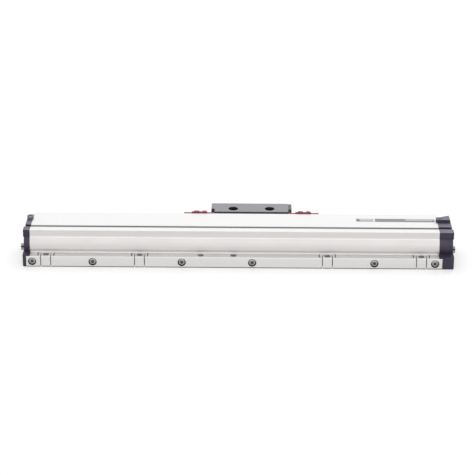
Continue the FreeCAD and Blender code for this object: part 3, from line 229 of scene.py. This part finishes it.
def grain_noise(tree, per_metre, detail=3.0):
    """Noise that rides with the object, with its own density along each axis."""
    mapping = tree.nodes.new("ShaderNodeMapping")
    mapping.inputs["Scale"].default_value = per_metre
    noise = tree.nodes.new("ShaderNodeTexNoise")
    noise.inputs["Scale"].default_value = 1.0
    noise.inputs["Detail"].default_value = detail
    wire(tree, object_place(tree), mapping.inputs["Vector"])
    wire(tree, mapping.outputs["Vector"], noise.inputs["Vector"])
    return noise.outputs["Fac"]


def spread(tree, factor, low, high, start=0.3, end=0.7):
    """A value that runs between two limits while a factor runs from start to end."""
    node = tree.nodes.new("ShaderNodeMapRange")
    node.inputs["From Min"].default_value = start
    node.inputs["From Max"].default_value = end
    node.inputs["To Min"].default_value = low
    node.inputs["To Max"].default_value = high
    wire(tree, factor, node.inputs["Value"])
    return node.outputs["Result"]


def blend_colours(tree, factor, first, second):
    """A colour that runs between two with a factor. Each may be a colour or a socket."""
    node = tree.nodes.new("ShaderNodeMix")
    node.data_type = "RGBA"
    wire(tree, factor, node.inputs["Factor"])
    for place, colour in ((6, first), (7, second)):
        if isinstance(colour, tuple):
            node.inputs[place].default_value = (*colour, 1.0)
        else:
            wire(tree, colour, node.inputs[place])
    return node.outputs[2]


def above(tree, value, place):
    """1 where a value lies beyond a place in millimetres."""
    return math_node(tree, "GREATER_THAN", value, place * MM)


def below(tree, value, place):
    """1 where a value lies short of a place in millimetres."""
    return math_node(tree, "LESS_THAN", value, place * MM)


def near_axes(tree, keep, centres, radius):
    """1 within a radius of any of several lines, seen along the axis that keep leaves out."""
    flat = tree.nodes.new("ShaderNodeVectorMath")
    flat.operation = "MULTIPLY"
    flat.inputs[1].default_value = keep
    wire(tree, object_place(tree), flat.inputs[0])
    found = None
    for centre in centres:
        gap = tree.nodes.new("ShaderNodeVectorMath")
        gap.operation = "DISTANCE"
        gap.inputs[1].default_value = [value * MM for value in centre]
        wire(tree, flat.outputs["Vector"], gap.inputs[0])
        inside = below(tree, gap.outputs["Value"], radius)
        found = inside if found is None else math_node(tree, "MAXIMUM", found, inside)
    return found


def all_of(tree, *tests):
    """1 where every test is 1."""
    found = tests[0]
    for test in tests[1:]:
        found = math_node(tree, "MULTIPLY", found, test)
    return found


def between(tree, value, low, high):
    """1 where a value lies between two places in millimetres."""
    return all_of(tree, above(tree, value, low), below(tree, value, high))


def facing_up(tree):
    """1 on faces that look up in the part's own frame."""
    split = tree.nodes.new("ShaderNodeSeparateXYZ")
    wire(tree, tree.nodes.new("ShaderNodeTexCoord").outputs["Normal"], split.inputs["Vector"])
    return math_node(tree, "GREATER_THAN", split.outputs["Z"], UPWARD)


def paint_rail(tree, colour):
    """Painted shade round the screws, grey painted shade in the bores, painted shade in the slits, a
    painted highlight on the top front edge and painted shade along the foot.
    """
    screws = [(x, 0.0, RAIL_SCREW_LEVEL) for x in RAIL_SCREWS]
    # Painted shade in the counterbores round the screw heads
    recess = near_axes(tree, (1, 0, 1), screws, COUNTERBORE_RADIUS + PAINT_MARGIN)
    colour = blend_colours(tree, recess, colour, COUNTERBORE_SHADE)
    # Grey painted shade on the walls of the mounting bores
    holes = [(x, 0.0, 0.0) for x in RAIL_HOLES]
    bore = near_axes(tree, (1, 1, 0), holes, RAIL_HOLE_RADIUS + PAINT_MARGIN)
    colour = blend_colours(tree, bore, colour, BORE_SHADE)
    _, y, z = coordinates(tree)
    # Painted shade in the slits
    slits = [(hole + side * OUTER_SLIT_OFFSET, 0.0, 0.0) for hole in SLITTED_HOLES for side in (-1, 1)]
    slit = all_of(
        tree,
        near_axes(tree, (1, 0, 0), slits, SLIT_HALF_WIDTH + PAINT_MARGIN),
        below(tree, z, RAIL_TOP - PAINT_MARGIN),
        above(tree, y, RAIL_FRONT + SLIT_START),
    )
    colour = blend_colours(tree, slit, colour, SLIT_SHADE_AND_PLUG_BAND)
    # Painted highlight along the rail's top front edge
    near_top = above(tree, z, RAIL_TOP - RAIL_EDGE_HEIGHT)
    near_front = below(tree, y, RAIL_FRONT + RAIL_EDGE_DEPTH)
    colour = blend_colours(tree, all_of(tree, near_top, near_front), colour, RAIL_EDGE_HIGHLIGHT)
    # Painted shade along the rail's foot
    return blend_colours(tree, below(tree, z, RAIL_FOOT), colour, RAIL_FOOT_SHADE)


def paint_housing(tree, colour):
    """Painted light on the roof, painted shade in the groove and beside it and along the bulge's foot,
    painted highlights on the bulge's top edge and the ridge.
    """
    _, y, z = coordinates(tree)
    on_roof = above(tree, z, ROOF - PAINT_MARGIN)
    # Painted light on the roof's upward faces
    colour = blend_colours(tree, all_of(tree, facing_up(tree), on_roof), colour, ROOF_PAINTED_LIGHT)
    # Painted shade along the foot of the bulge
    ahead = below(tree, y, BULGE_BACK)
    shaded_foot = all_of(tree, ahead, between(tree, z, BULGE_FOOT - FOOT_SHADE_BELOW, BULGE_FOOT + FOOT_SHADE_ABOVE))
    colour = blend_colours(tree, shaded_foot, colour, BULGE_FOOT_SHADE)
    # Painted highlight along the bulge's top edge
    edge = all_of(tree, ahead, between(tree, z, BULGE_TOP - BULGE_EDGE, BULGE_TOP + PAINT_MARGIN))
    colour = blend_colours(tree, edge, colour, EDGE_HIGHLIGHT)
    # Painted shade in the groove
    across = between(tree, y, GROOVE_FRONT - PAINT_MARGIN, GROOVE_BACK + PAINT_MARGIN)
    sunk = between(tree, z, GROOVE_FLOOR - PAINT_MARGIN, ROOF - PAINT_MARGIN)
    colour = blend_colours(tree, all_of(tree, across, sunk), colour, GROOVE_SHADE)
    # Painted shade on the roof along both sides of the groove
    beside = between(tree, y, GROOVE_FRONT - GROOVE_EDGE, GROOVE_BACK + GROOVE_EDGE)
    colour = blend_colours(tree, all_of(tree, beside, on_roof), colour, GROOVE_SIDE_SHADE)
    # Painted highlight on the ridge
    return blend_colours(tree, between(tree, z, RIDGE_LOW, RIDGE_HIGH), colour, EDGE_HIGHLIGHT)


def paint_cap(tree, colour):
    """Painted light on the moulding's top and in the bore of the pad."""
    _, _, z = coordinates(tree)
    # Painted light on the moulding's upward faces
    top = all_of(tree, facing_up(tree), above(tree, z, LIT_TOP_LEVEL))
    colour = blend_colours(tree, top, colour, CAP_TOP_LIGHT)
    # Painted light in the bore of the pad, lightening its shade
    bore = near_axes(tree, (1, 1, 0), [(*PAD_SCREW, 0.0)], PAD_BORE_RADIUS + PAINT_MARGIN)
    return blend_colours(tree, all_of(tree, bore, above(tree, z, ROOF)), colour, PAD_BORE_LIGHT)


def paint_block(tree, colour):
    """Painted shade on the counterbores' walls, on the front and in a notch at the left front corner.
    """
    centres = [(x, y, 0.0) for x, y in HEAD_HOLES]
    # Painted shade in the counterbores
    bore = near_axes(tree, (1, 1, 0), centres, HEAD_BORE_RADIUS + PAINT_MARGIN)
    colour = blend_colours(tree, bore, colour, BLOCK_BORE_SHADE)
    x, y, _ = coordinates(tree)
    # Painted shade on the front and in the notch
    front = below(tree, y, BLOCK_FRONT + BLOCK_FRONT_DEPTH)
    outside = below(tree, x, NOTCH_SIDE + NOTCH_DEPTH)
    notch = all_of(tree, outside, below(tree, y, NOTCH_BACK + NOTCH_DEPTH))
    return blend_colours(tree, math_node(tree, "MAXIMUM", front, notch), colour, BLOCK_SHADE)


def paint_plug(tree, colour):
    """A dark band along each plug, a little above its slot."""
    _, _, z = coordinates(tree)
    band = between(tree, z, *(PLUG_LEVEL + height for height in PLUG_BAND))
    return blend_colours(tree, band, colour, SLIT_SHADE_AND_PLUG_BAND)


def paint_screws(tree, colour):
    """A darker finish on the clamp screw that stands on the left cap."""
    x, _, z = coordinates(tree)
    clamp = all_of(tree, below(tree, x, CLAMP_SCREW_NEAR), above(tree, z, ROOF))
    return blend_colours(tree, clamp, colour, CLAMP_GREY)


def paint_board(tree, colour):
    """Copper runs under the mask, and black chips where the board is thicker."""
    run = spread(tree, grain_noise(tree, (260, 260, 2400), 0.0), 0.0, 1.0, 0.52, 0.56)
    colour = blend_colours(tree, run, colour, COPPER_GREEN)
    _, y, _ = coordinates(tree)
    chip = math_node(tree, "MAXIMUM", above(tree, y, CHIPS_BEHIND), below(tree, y, CHIPS_BEFORE))
    return blend_colours(tree, chip, colour, CHIP_BLACK)


def paint_contacts(tree, colour):
    """Gold contacts in the socket."""
    centres = [(0.0, y, z) for y, z in CONTACTS]
    pin = near_axes(tree, (0, 1, 1), centres, CONTACT_RADIUS)
    return blend_colours(tree, pin, colour, CONTACT_GOLD)


def paint_fields(tree, colour):
    """Plain printed fields on the foil: a framed pale one, then a long grey one."""
    x, y, _ = coordinates(tree)
    for left, right, front, back, tone in PLATE_FIELDS:
        field = all_of(tree, between(tree, x, left, right), between(tree, y, front, back))
        colour = blend_colours(tree, field, colour, (tone, tone * 0.99, tone * 0.985))
    return colour


def paint_graduation(tree, colour):
    """A grey metal band with fine lines across the glass."""
    _, _, z = coordinates(tree)
    lines = spread(tree, grain_noise(tree, (9000, 4, 4), 0.0), 0.0, 1.0, 0.48, 0.52)
    marks = all_of(tree, between(tree, z, BAND_LOW, BAND_HIGH), lines)
    return blend_colours(tree, marks, colour, BAND_GREY)


# Finish of every material slot. Colours run from dark to light with the grain, which is in
# features per metre along X, Y and Z. Bump and edge are in metres.
FINISHES = {
    "anodised_aluminium": {
        "dark": (0.745, 0.718, 0.71), "light": (0.815, 0.785, 0.777), "metallic": 0.2,
        "roughness": (0.5, 0.6), "grain": (5, 1900, 1900), "bump": 0.000008,
        "paint": paint_housing, "edge": 0.0006,
    },
    "rail_aluminium": {
        "dark": (0.80, 0.79, 0.775), "light": (0.87, 0.86, 0.845), "metallic": 0.2,
        "roughness": (0.5, 0.6), "grain": (8, 1500, 1500), "bump": 0.000008,
        "paint": paint_rail, "edge": 0.0008,
    },
    "screw_steel": {
        "dark": (0.28, 0.255, 0.255), "light": (0.50, 0.465, 0.465), "metallic": 0.7,
        "roughness": (0.32, 0.5), "grain": (1400, 1400, 1400), "bump": 0.00001,
        "paint": paint_screws,
    },
    # Painted shade for the screws' hex sockets, darker than their steel
    "screw_socket_shade": {
        "dark": (0.09, 0.082, 0.082), "light": (0.16, 0.15, 0.15), "metallic": 0.3,
        "roughness": (0.5, 0.7), "grain": (1400, 1400, 1400), "bump": 0.00001,
    },
    "cap_plastic": {
        "dark": (0.020, 0.015, 0.033), "light": (0.028, 0.022, 0.043), "metallic": 0.0,
        "roughness": (0.5, 0.62), "grain": (1500, 1500, 1500), "bump": 0.00003,
        "paint": paint_cap,
    },
    "seal_rubber": {
        "dark": (0.012, 0.012, 0.013), "light": (0.024, 0.024, 0.026), "metallic": 0.0,
        "roughness": (0.6, 0.8), "grain": (900, 900, 900), "bump": 0.00003,
    },
    "plug_metal": {
        "dark": (0.24, 0.238, 0.235), "light": (0.38, 0.378, 0.375), "metallic": 0.9,
        "roughness": (0.3, 0.45), "grain": (3000, 500, 500), "bump": 0.00001,
        "paint": paint_plug,
    },
    "scale_glass": {
        "dark": (0.86, 0.92, 0.91), "light": (0.93, 0.97, 0.96), "metallic": 0.0,
        "roughness": (0.02, 0.06), "grain": (300, 300, 300), "bump": 0.0, "transmission": 1.0,
        "paint": paint_graduation,
    },
    "plate_foil": {
        "dark": (0.60, 0.60, 0.60), "light": (0.68, 0.68, 0.68), "metallic": 0.3,
        "roughness": (0.35, 0.5), "grain": (20, 2200, 2200), "bump": 0.000006,
        "paint": paint_fields,
    },
    "block_coating": {
        "dark": (0.225, 0.222, 0.245), "light": (0.285, 0.28, 0.305), "metallic": 0.1,
        "roughness": (0.42, 0.58), "grain": (1700, 1700, 1700), "bump": 0.00003,
        "paint": paint_block,
    },
    "socket_cover_plastic": {
        "dark": (0.075, 0.09, 0.082), "light": (0.10, 0.12, 0.11), "metallic": 0.0,
        "roughness": (0.45, 0.6), "grain": (1500, 1500, 1500), "bump": 0.00002,
    },
    "circuit_board": {
        "dark": (0.012, 0.09, 0.035), "light": (0.02, 0.13, 0.05), "metallic": 0.0,
        "roughness": (0.25, 0.4), "grain": (700, 700, 700), "bump": 0.00001,
        "paint": paint_board,
    },
    "connector_plastic": {
        "dark": (0.014, 0.014, 0.015), "light": (0.026, 0.026, 0.028), "metallic": 0.0,
        "roughness": (0.35, 0.5), "grain": (1300, 1300, 1300), "bump": 0.00001,
        "paint": paint_contacts,
    },
    "blade_steel": {
        "dark": (0.42, 0.42, 0.43), "light": (0.55, 0.55, 0.56), "metallic": 1.0,
        "roughness": (0.22, 0.34), "grain": (30, 2600, 2600), "bump": 0.000008,
    },
    "lead_film": {
        "dark": (0.30, 0.11, 0.02), "light": (0.40, 0.16, 0.03), "metallic": 0.0,
        "roughness": (0.25, 0.4), "grain": (400, 40, 400), "bump": 0.000008,
    },
    "carriage_metal": {
        "dark": (0.34, 0.34, 0.35), "light": (0.46, 0.46, 0.47), "metallic": 0.9,
        "roughness": (0.35, 0.5), "grain": (700, 700, 700), "bump": 0.00003,
    },
    "roller_steel": {
        "dark": (0.50, 0.50, 0.51), "light": (0.60, 0.60, 0.61), "metallic": 1.0,
        "roughness": (0.08, 0.16), "grain": (900, 900, 900), "bump": 0.000003,
    },
    "brace_plastic": {
        "dark": (0.22, 0.018, 0.048), "light": (0.28, 0.028, 0.068), "metallic": 0.0,
        "roughness": (0.3, 0.42), "grain": (900, 900, 900), "bump": 0.000015,
    },
}


def make_material(name, finish):
    """A Principled material whose colour, roughness and bump follow its grain."""
    material = bpy.data.materials.new(name)
    material.use_nodes = True
    tree = material.node_tree
    tree.nodes.clear()
    output = tree.nodes.new("ShaderNodeOutputMaterial")
    shader = tree.nodes.new("ShaderNodeBsdfPrincipled")
    wire(tree, shader.outputs["BSDF"], output.inputs["Surface"])
    fine = grain_noise(tree, finish["grain"])
    broad = grain_noise(tree, BROAD_GRAIN, 2.0)
    colour = blend_colours(tree, spread(tree, fine, 0.0, 1.0), finish["dark"], finish["light"])
    if "paint" in finish:
        colour = finish["paint"](tree, colour)
    wire(tree, colour, shader.inputs["Base Color"])
    wire(tree, spread(tree, broad, *finish["roughness"]), shader.inputs["Roughness"])
    shader.inputs["Metallic"].default_value = finish["metallic"]
    shader.inputs["Transmission Weight"].default_value = finish.get("transmission", 0.0)
    shader.inputs["IOR"].default_value = REFRACTION
    if "edge" in finish:
        edge = tree.nodes.new("ShaderNodeBevel")
        edge.samples = EDGE_SAMPLES
        edge.inputs["Radius"].default_value = finish["edge"]
        wire(tree, edge.outputs["Normal"], shader.inputs["Normal"])
    if finish["bump"]:
        bump = tree.nodes.new("ShaderNodeBump")
        bump.inputs["Strength"].default_value = 1.0
        bump.inputs["Distance"].default_value = finish["bump"]
        wire(tree, fine, bump.inputs["Height"])
        if "edge" in finish:
            wire(tree, edge.outputs["Normal"], bump.inputs["Normal"])
        wire(tree, bump.outputs["Normal"], shader.inputs["Normal"])
    return material


MATERIALS = {slot: make_material(slot, finish) for slot, finish in FINISHES.items()}

for node_name, thing in frame["nodes"].items():
    plain = MATERIALS[SLOT_OF[node_name]]
    if not thing.material_slots:
        thing.data.materials.append(plain)
    for place in thing.material_slots:
        place.material = plain


def add_piece(name, mesh, body, slot, replaced):
    """Links a finished mesh as a piece that rides on a body and stands for a node."""
    piece = bpy.data.objects.new(name, mesh)
    bpy.context.scene.collection.objects.link(piece)
    mesh.materials.append(MATERIALS[slot])
    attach(piece, body)
    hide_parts(replaced)
    return piece


def soften(node, name, body, width):
    """A piece with a node's own shape and small rounds, in millimetres, along its sharp edges."""
    work = bmesh.new()
    work.from_mesh(frame["nodes"][node].data)
    bmesh.ops.remove_doubles(work, verts=work.verts, dist=MERGE_DISTANCE)
    flat = math.radians(FLAT_ANGLE)
    bmesh.ops.dissolve_limit(work, angle_limit=flat, verts=work.verts, edges=work.edges)
    mesh = bpy.data.meshes.new(name)
    work.to_mesh(mesh)
    work.free()
    for face in mesh.polygons:
        face.use_smooth = True
    piece = add_piece(name, mesh, body, SLOT_OF[node], node)
    edges = piece.modifiers.new("edges", "BEVEL")
    edges.width = width * MM
    edges.segments = ROUND_SEGMENTS
    edges.limit_method = "ANGLE"
    edges.angle_limit = math.radians(ROUNDED_ANGLE)
    normals = piece.modifiers.new("normals", "WEIGHTED_NORMAL")
    normals.keep_sharp = True


def hex_radius(across_flats, angle):
    """Distance from the centre of a hexagon to its side at an angle."""
    sixth = math.radians(60)
    return across_flats / 2 / math.cos((angle % sixth) - sixth / 2)


def add_screw(work, kind, length, at, outward):
    """A socket head screw: head underside at a place, head towards outward."""
    head, height, shank, socket = (value * MM for value in kind)
    length = length * MM
    chamfer = min(HEAD_CHAMFER * MM, height * 0.2)
    head_radius, shank_radius = head / 2, shank / 2
    # The rim lies just outside the socket's corners
    rim = socket / 2 * 1.2
    depth = height * SOCKET_SHARE
    # Radius, level and form of each ring, from the shank's tip to the socket's floor
    rows = [
        (shank_radius * 0.8, -length, None),
        (shank_radius, -length + shank_radius * 0.2, None),
        (shank_radius, 0.0, None),
        (head_radius - chamfer, 0.0, None),
        (head_radius, chamfer, "knurl"),
        (head_radius, height - chamfer * 1.4, "knurl"),
        (head_radius - chamfer * 0.35, height - chamfer * 0.5, None),
        (head_radius - chamfer * 1.2, height, None),
        (rim, height, None),
        (None, height - chamfer * 0.6, "hex"),
        (None, height - depth, "hex"),
    ]
    turn = Vector(outward).to_track_quat("Z", "Y").to_matrix().to_4x4()
    place = Matrix.Translation(Vector(at) * MM) @ turn
    rings = []
    for radius, level, form in rows:
        ring = []
        for step in range(SIDES):
            angle = 2 * math.pi * step / SIDES
            reach = radius
            if form == "hex":
                reach = hex_radius(socket, angle)
            if form == "knurl" and step % 2:
                reach = radius - KNURL_DEPTH * MM
            point = Vector((reach * math.cos(angle), reach * math.sin(angle), level))
            ring.append(work.verts.new(place @ point))
        rings.append(ring)
    for lower, upper, row in zip(rings, rings[1:], rows[1:]):
        for step in range(SIDES):
            after = (step + 1) % SIDES
            face = work.faces.new((lower[step], lower[after], upper[after], upper[step]))
            face.smooth = True
            # The socket's walls and floor take the painted shade of the second material
            face.material_index = 1 if row[2] == "hex" else 0
    tip = work.verts.new(place @ Vector((0, 0, -length)))
    floor = work.verts.new(place @ Vector((0, 0, height - depth - socket * 0.12)))
    for step in range(SIDES):
        after = (step + 1) % SIDES
        work.faces.new((rings[0][after], rings[0][step], tip))
        face = work.faces.new((rings[-1][step], rings[-1][after], floor))
        face.material_index = 1


def make_screws(name, node, body, kind, length, places, outward):
    """One piece with all the screws of a node."""
    work = bmesh.new()
    for at, direction in zip(places, outward):
        add_screw(work, kind, length, at, direction)
    mesh = bpy.data.meshes.new(name)
    work.to_mesh(mesh)
    work.free()
    mesh.set_sharp_from_angle(angle=math.radians(SHARP_ANGLE))
    add_piece(name, mesh, body, SLOT_OF[node], node)
    # Second material: painted shade in the sockets
    mesh.materials.append(MATERIALS["screw_socket_shade"])


# Piece, node and body, then the kind and length of screw, then places and directions
SCREW_SETS = (
    ("rail_socket_screws", "rail_screws", "housing", RAIL_SCREW, 10.8,
     [(x, RAIL_SCREW_SEAT, RAIL_SCREW_LEVEL) for x in RAIL_SCREWS], [FRONT] * len(RAIL_SCREWS)),
    ("left_cap_socket_screws", "left_cap_screws", "housing", CAP_SCREW, 11.3,
     [(-220.7, y, z) for y, z in CAP_CORNERS], [LEFT] * 4),
    ("right_cap_socket_screws", "right_cap_screws", "housing", CAP_SCREW, 19.4,
     [(230.6, y, z) for y, z in CAP_CORNERS], [RIGHT] * 4),
    ("left_clamp_socket_screw", "left_clamp_screw", "housing", KNOB_SCREW, 8.0,
     [(*CLAMP_SCREW, ROOF)], [UP]),
    ("right_clamp_socket_screw", "right_clamp_screw", "housing", SUNK_SCREW, 7.0,
     [(*PAD_SCREW, ROOF)], [UP]),
    ("back_cover_socket_screws", "back_cover_screws", "scanning_unit", COVER_SCREW, 5.0,
     [(x, 82.6, z) for x in (-18.6, 51.4) for z in (15.2, 33.6)], [BACK] * 4),
    ("end_cover_socket_screws", "socket_cover_screws", "scanning_unit", COVER_SCREW, 7.3,
     [(61.4, 80.2, z) for z in (15.6, 33.8)], [RIGHT] * 2),
    ("brace_socket_screws", "brace_screws", "scanning_unit", BRACE_SCREW, 9.9,
     [(x, 63.55, z) for x in (-23.7, 61.0) for z in (14.5, 27.0)], [LEFT] * 2 + [RIGHT] * 2),
)
for screw_set in SCREW_SETS:
    make_screws(*screw_set)

# Node, piece and body, then the width of its edge rounds
SOFTENED = (
    ("mounting_block", "coated_block", "scanning_unit", 0.5),
    ("back_cover", "rear_cover_plate", "scanning_unit", 0.25),
    ("socket_cover", "end_cover_plate", "scanning_unit", 0.5),
    ("left_transport_brace", "left_red_brace", "scanning_unit", 0.5),
    ("right_transport_brace", "right_red_brace", "scanning_unit", 0.5),
    ("left_end_cap", "left_moulded_cap", "housing", 0.35),
    ("right_end_cap", "right_moulded_cap", "housing", 0.35),
    ("mounting_rail", "milled_rail", "housing", 0.4),
    ("left_air_plug", "left_turned_plug", "housing", 0.25),
    ("right_air_plug", "right_turned_plug", "housing", 0.25),
)
for softened in SOFTENED:
    soften(*softened)


def rounded_corner(centre, radius, start):
    """Points of a quarter circle in the plan, anticlockwise from an angle."""
    turns = [
        math.radians(start + 90 * step / CORNER_STEPS) for step in range(CORNER_STEPS + 1)
    ]
    x, y = centre
    return [(x + radius * math.cos(turn), y + radius * math.sin(turn)) for turn in turns]


def make_plate():
    """Thin foil plate with rounded corners, wider rounds at its right end."""
    outline = []
    for radius, across, along, start in (
        (PLATE_RIGHT_ROUND, PLATE_RIGHT, PLATE_BACK, 0),
        (PLATE_LEFT_ROUND, PLATE_LEFT, PLATE_BACK, 90),
        (PLATE_LEFT_ROUND, PLATE_LEFT, PLATE_FRONT, 180),
        (PLATE_RIGHT_ROUND, PLATE_RIGHT, PLATE_FRONT, 270),
    ):
        inward_x = -radius if across == PLATE_RIGHT else radius
        inward_y = -radius if along == PLATE_BACK else radius
        outline += rounded_corner((across + inward_x, along + inward_y), radius, start)
    work = bmesh.new()
    middle = ((PLATE_LEFT + PLATE_RIGHT) / 2, (PLATE_FRONT + PLATE_BACK) / 2)
    rings = []
    for level, inset in (
        (PLATE_LOW, 0.0), (PLATE_HIGH - PLATE_EDGE, 0.0), (PLATE_HIGH, PLATE_EDGE),
    ):
        ring = []
        for x, y in outline:
            x -= math.copysign(inset, x - middle[0])
            y -= math.copysign(inset, y - middle[1])
            ring.append(work.verts.new((x * MM, y * MM, level * MM)))
        rings.append(ring)
    for lower, upper in zip(rings, rings[1:]):
        for step, corner in enumerate(lower):
            work.faces.new((lower[step - 1], corner, upper[step], upper[step - 1]))
    work.faces.new(rings[-1])
    work.faces.new(list(reversed(rings[0])))
    mesh = bpy.data.meshes.new("foil_plate")
    work.to_mesh(mesh)
    work.free()
    add_piece("foil_plate", mesh, "housing", "plate_foil", "name_plate")


make_plate()


def seen_directly(tree):
    """1 for what the camera sees, straight or in metal and glass, and 0 for light that bounces."""
    ray = tree.nodes.new("ShaderNodeLightPath")
    glossy, through = ray.outputs["Is Glossy Ray"], ray.outputs["Is Transmission Ray"]
    mirrored = math_node(tree, "MAXIMUM", glossy, through)
    return math_node(tree, "MAXIMUM", ray.outputs["Is Camera Ray"], mirrored)


def make_floor():
    """A wide white floor that sends back less light than it shows."""
    mesh = bpy.data.meshes.new("studio_floor")
    corners = [(x * FLOOR_HALF, y * FLOOR_HALF, 0) for x, y in ((-1, -1), (1, -1), (1, 1), (-1, 1))]
    mesh.from_pydata(corners, [], [(0, 1, 2, 3)])
    floor = bpy.data.objects.new("studio_floor", mesh)
    floor.location.z = -FLOOR_DROP * MM
    bpy.context.scene.collection.objects.link(floor)
    material = bpy.data.materials.new("studio_floor")
    material.use_nodes = True
    tree = material.node_tree
    shader = tree.nodes["Principled BSDF"]
    colour = blend_colours(tree, seen_directly(tree), FLOOR_BOUNCED, FLOOR_SEEN)
    wire(tree, colour, shader.inputs["Base Color"])
    shader.inputs["Emission Color"].default_value = (1.0, 1.0, 1.0, 1.0)
    reach = tree.nodes.new("ShaderNodeVectorMath")
    reach.operation = "LENGTH"
    wire(tree, object_place(tree), reach.inputs[0])
    glow = spread(tree, reach.outputs["Value"], GLOW_NEAR, GLOW_FAR, GLOW_START, GLOW_END)
    glow = math_node(tree, "MULTIPLY", seen_directly(tree), glow)
    wire(tree, glow, shader.inputs["Emission Strength"])
    shader.inputs["Roughness"].default_value = FLOOR_ROUGHNESS
    shader.inputs["Specular IOR Level"].default_value = FLOOR_SPECULAR
    mesh.materials.append(material)


def add_lamp(name, at, target, size, power):
    """A soft rectangular lamp that faces a point."""
    data = bpy.data.lights.new(name, "AREA")
    data.shape = "RECTANGLE"
    data.size, data.size_y = size
    data.energy = power
    lamp = bpy.data.objects.new(name, data)
    lamp.location = at
    away = Vector(at) - Vector(target)
    lamp.rotation_euler = away.to_track_quat("Z", "Y").to_euler()
    bpy.context.scene.collection.objects.link(lamp)


def make_light():
    """A white tent, a wide soft lamp behind the viewer and one high behind the object."""
    world = bpy.data.worlds.new("white_tent")
    bpy.context.scene.world = world
    world.use_nodes = True
    tree = world.node_tree
    sky = tree.nodes["Background"]
    sky.inputs["Color"].default_value = (1.0, 1.0, 1.0, 1.0)
    strength = spread(tree, seen_directly(tree), TENT_BOUNCED, TENT_SEEN, 0.0, 1.0)
    wire(tree, strength, sky.inputs["Strength"])
    for lamp in LAMPS:
        add_lamp(*lamp)


def make_camera():
    """The photograph's viewpoint: nearly level along X, from above the front."""
    angles = (CAMERA_AZIMUTH, CAMERA_ELEVATION, CAMERA_ROLL)
    azimuth, elevation, roll = (math.radians(angle) for angle in angles)
    back = Vector((
        math.sin(azimuth) * math.cos(elevation),
        -math.cos(azimuth) * math.cos(elevation),
        math.sin(elevation),
    ))
    data = bpy.data.cameras.new("photo_camera")
    data.lens = CAMERA_LENS
    data.sensor_width = CAMERA_SENSOR
    data.clip_start, data.clip_end = CAMERA_CLIP
    camera = bpy.data.objects.new("photo_camera", data)
    camera.rotation_mode = "QUATERNION"
    camera.location = Vector(CAMERA_TARGET) * MM + back * CAMERA_DISTANCE
    level = (-back).to_track_quat("-Z", "Y")
    camera.rotation_quaternion = level @ Matrix.Rotation(roll, 3, "Z").to_quaternion()
    bpy.context.scene.collection.objects.link(camera)
    bpy.context.scene.camera = camera


make_floor()
make_light()
make_camera()
bpy.context.scene.view_settings.view_transform = "Standard"

bpy.context.view_layer.update()
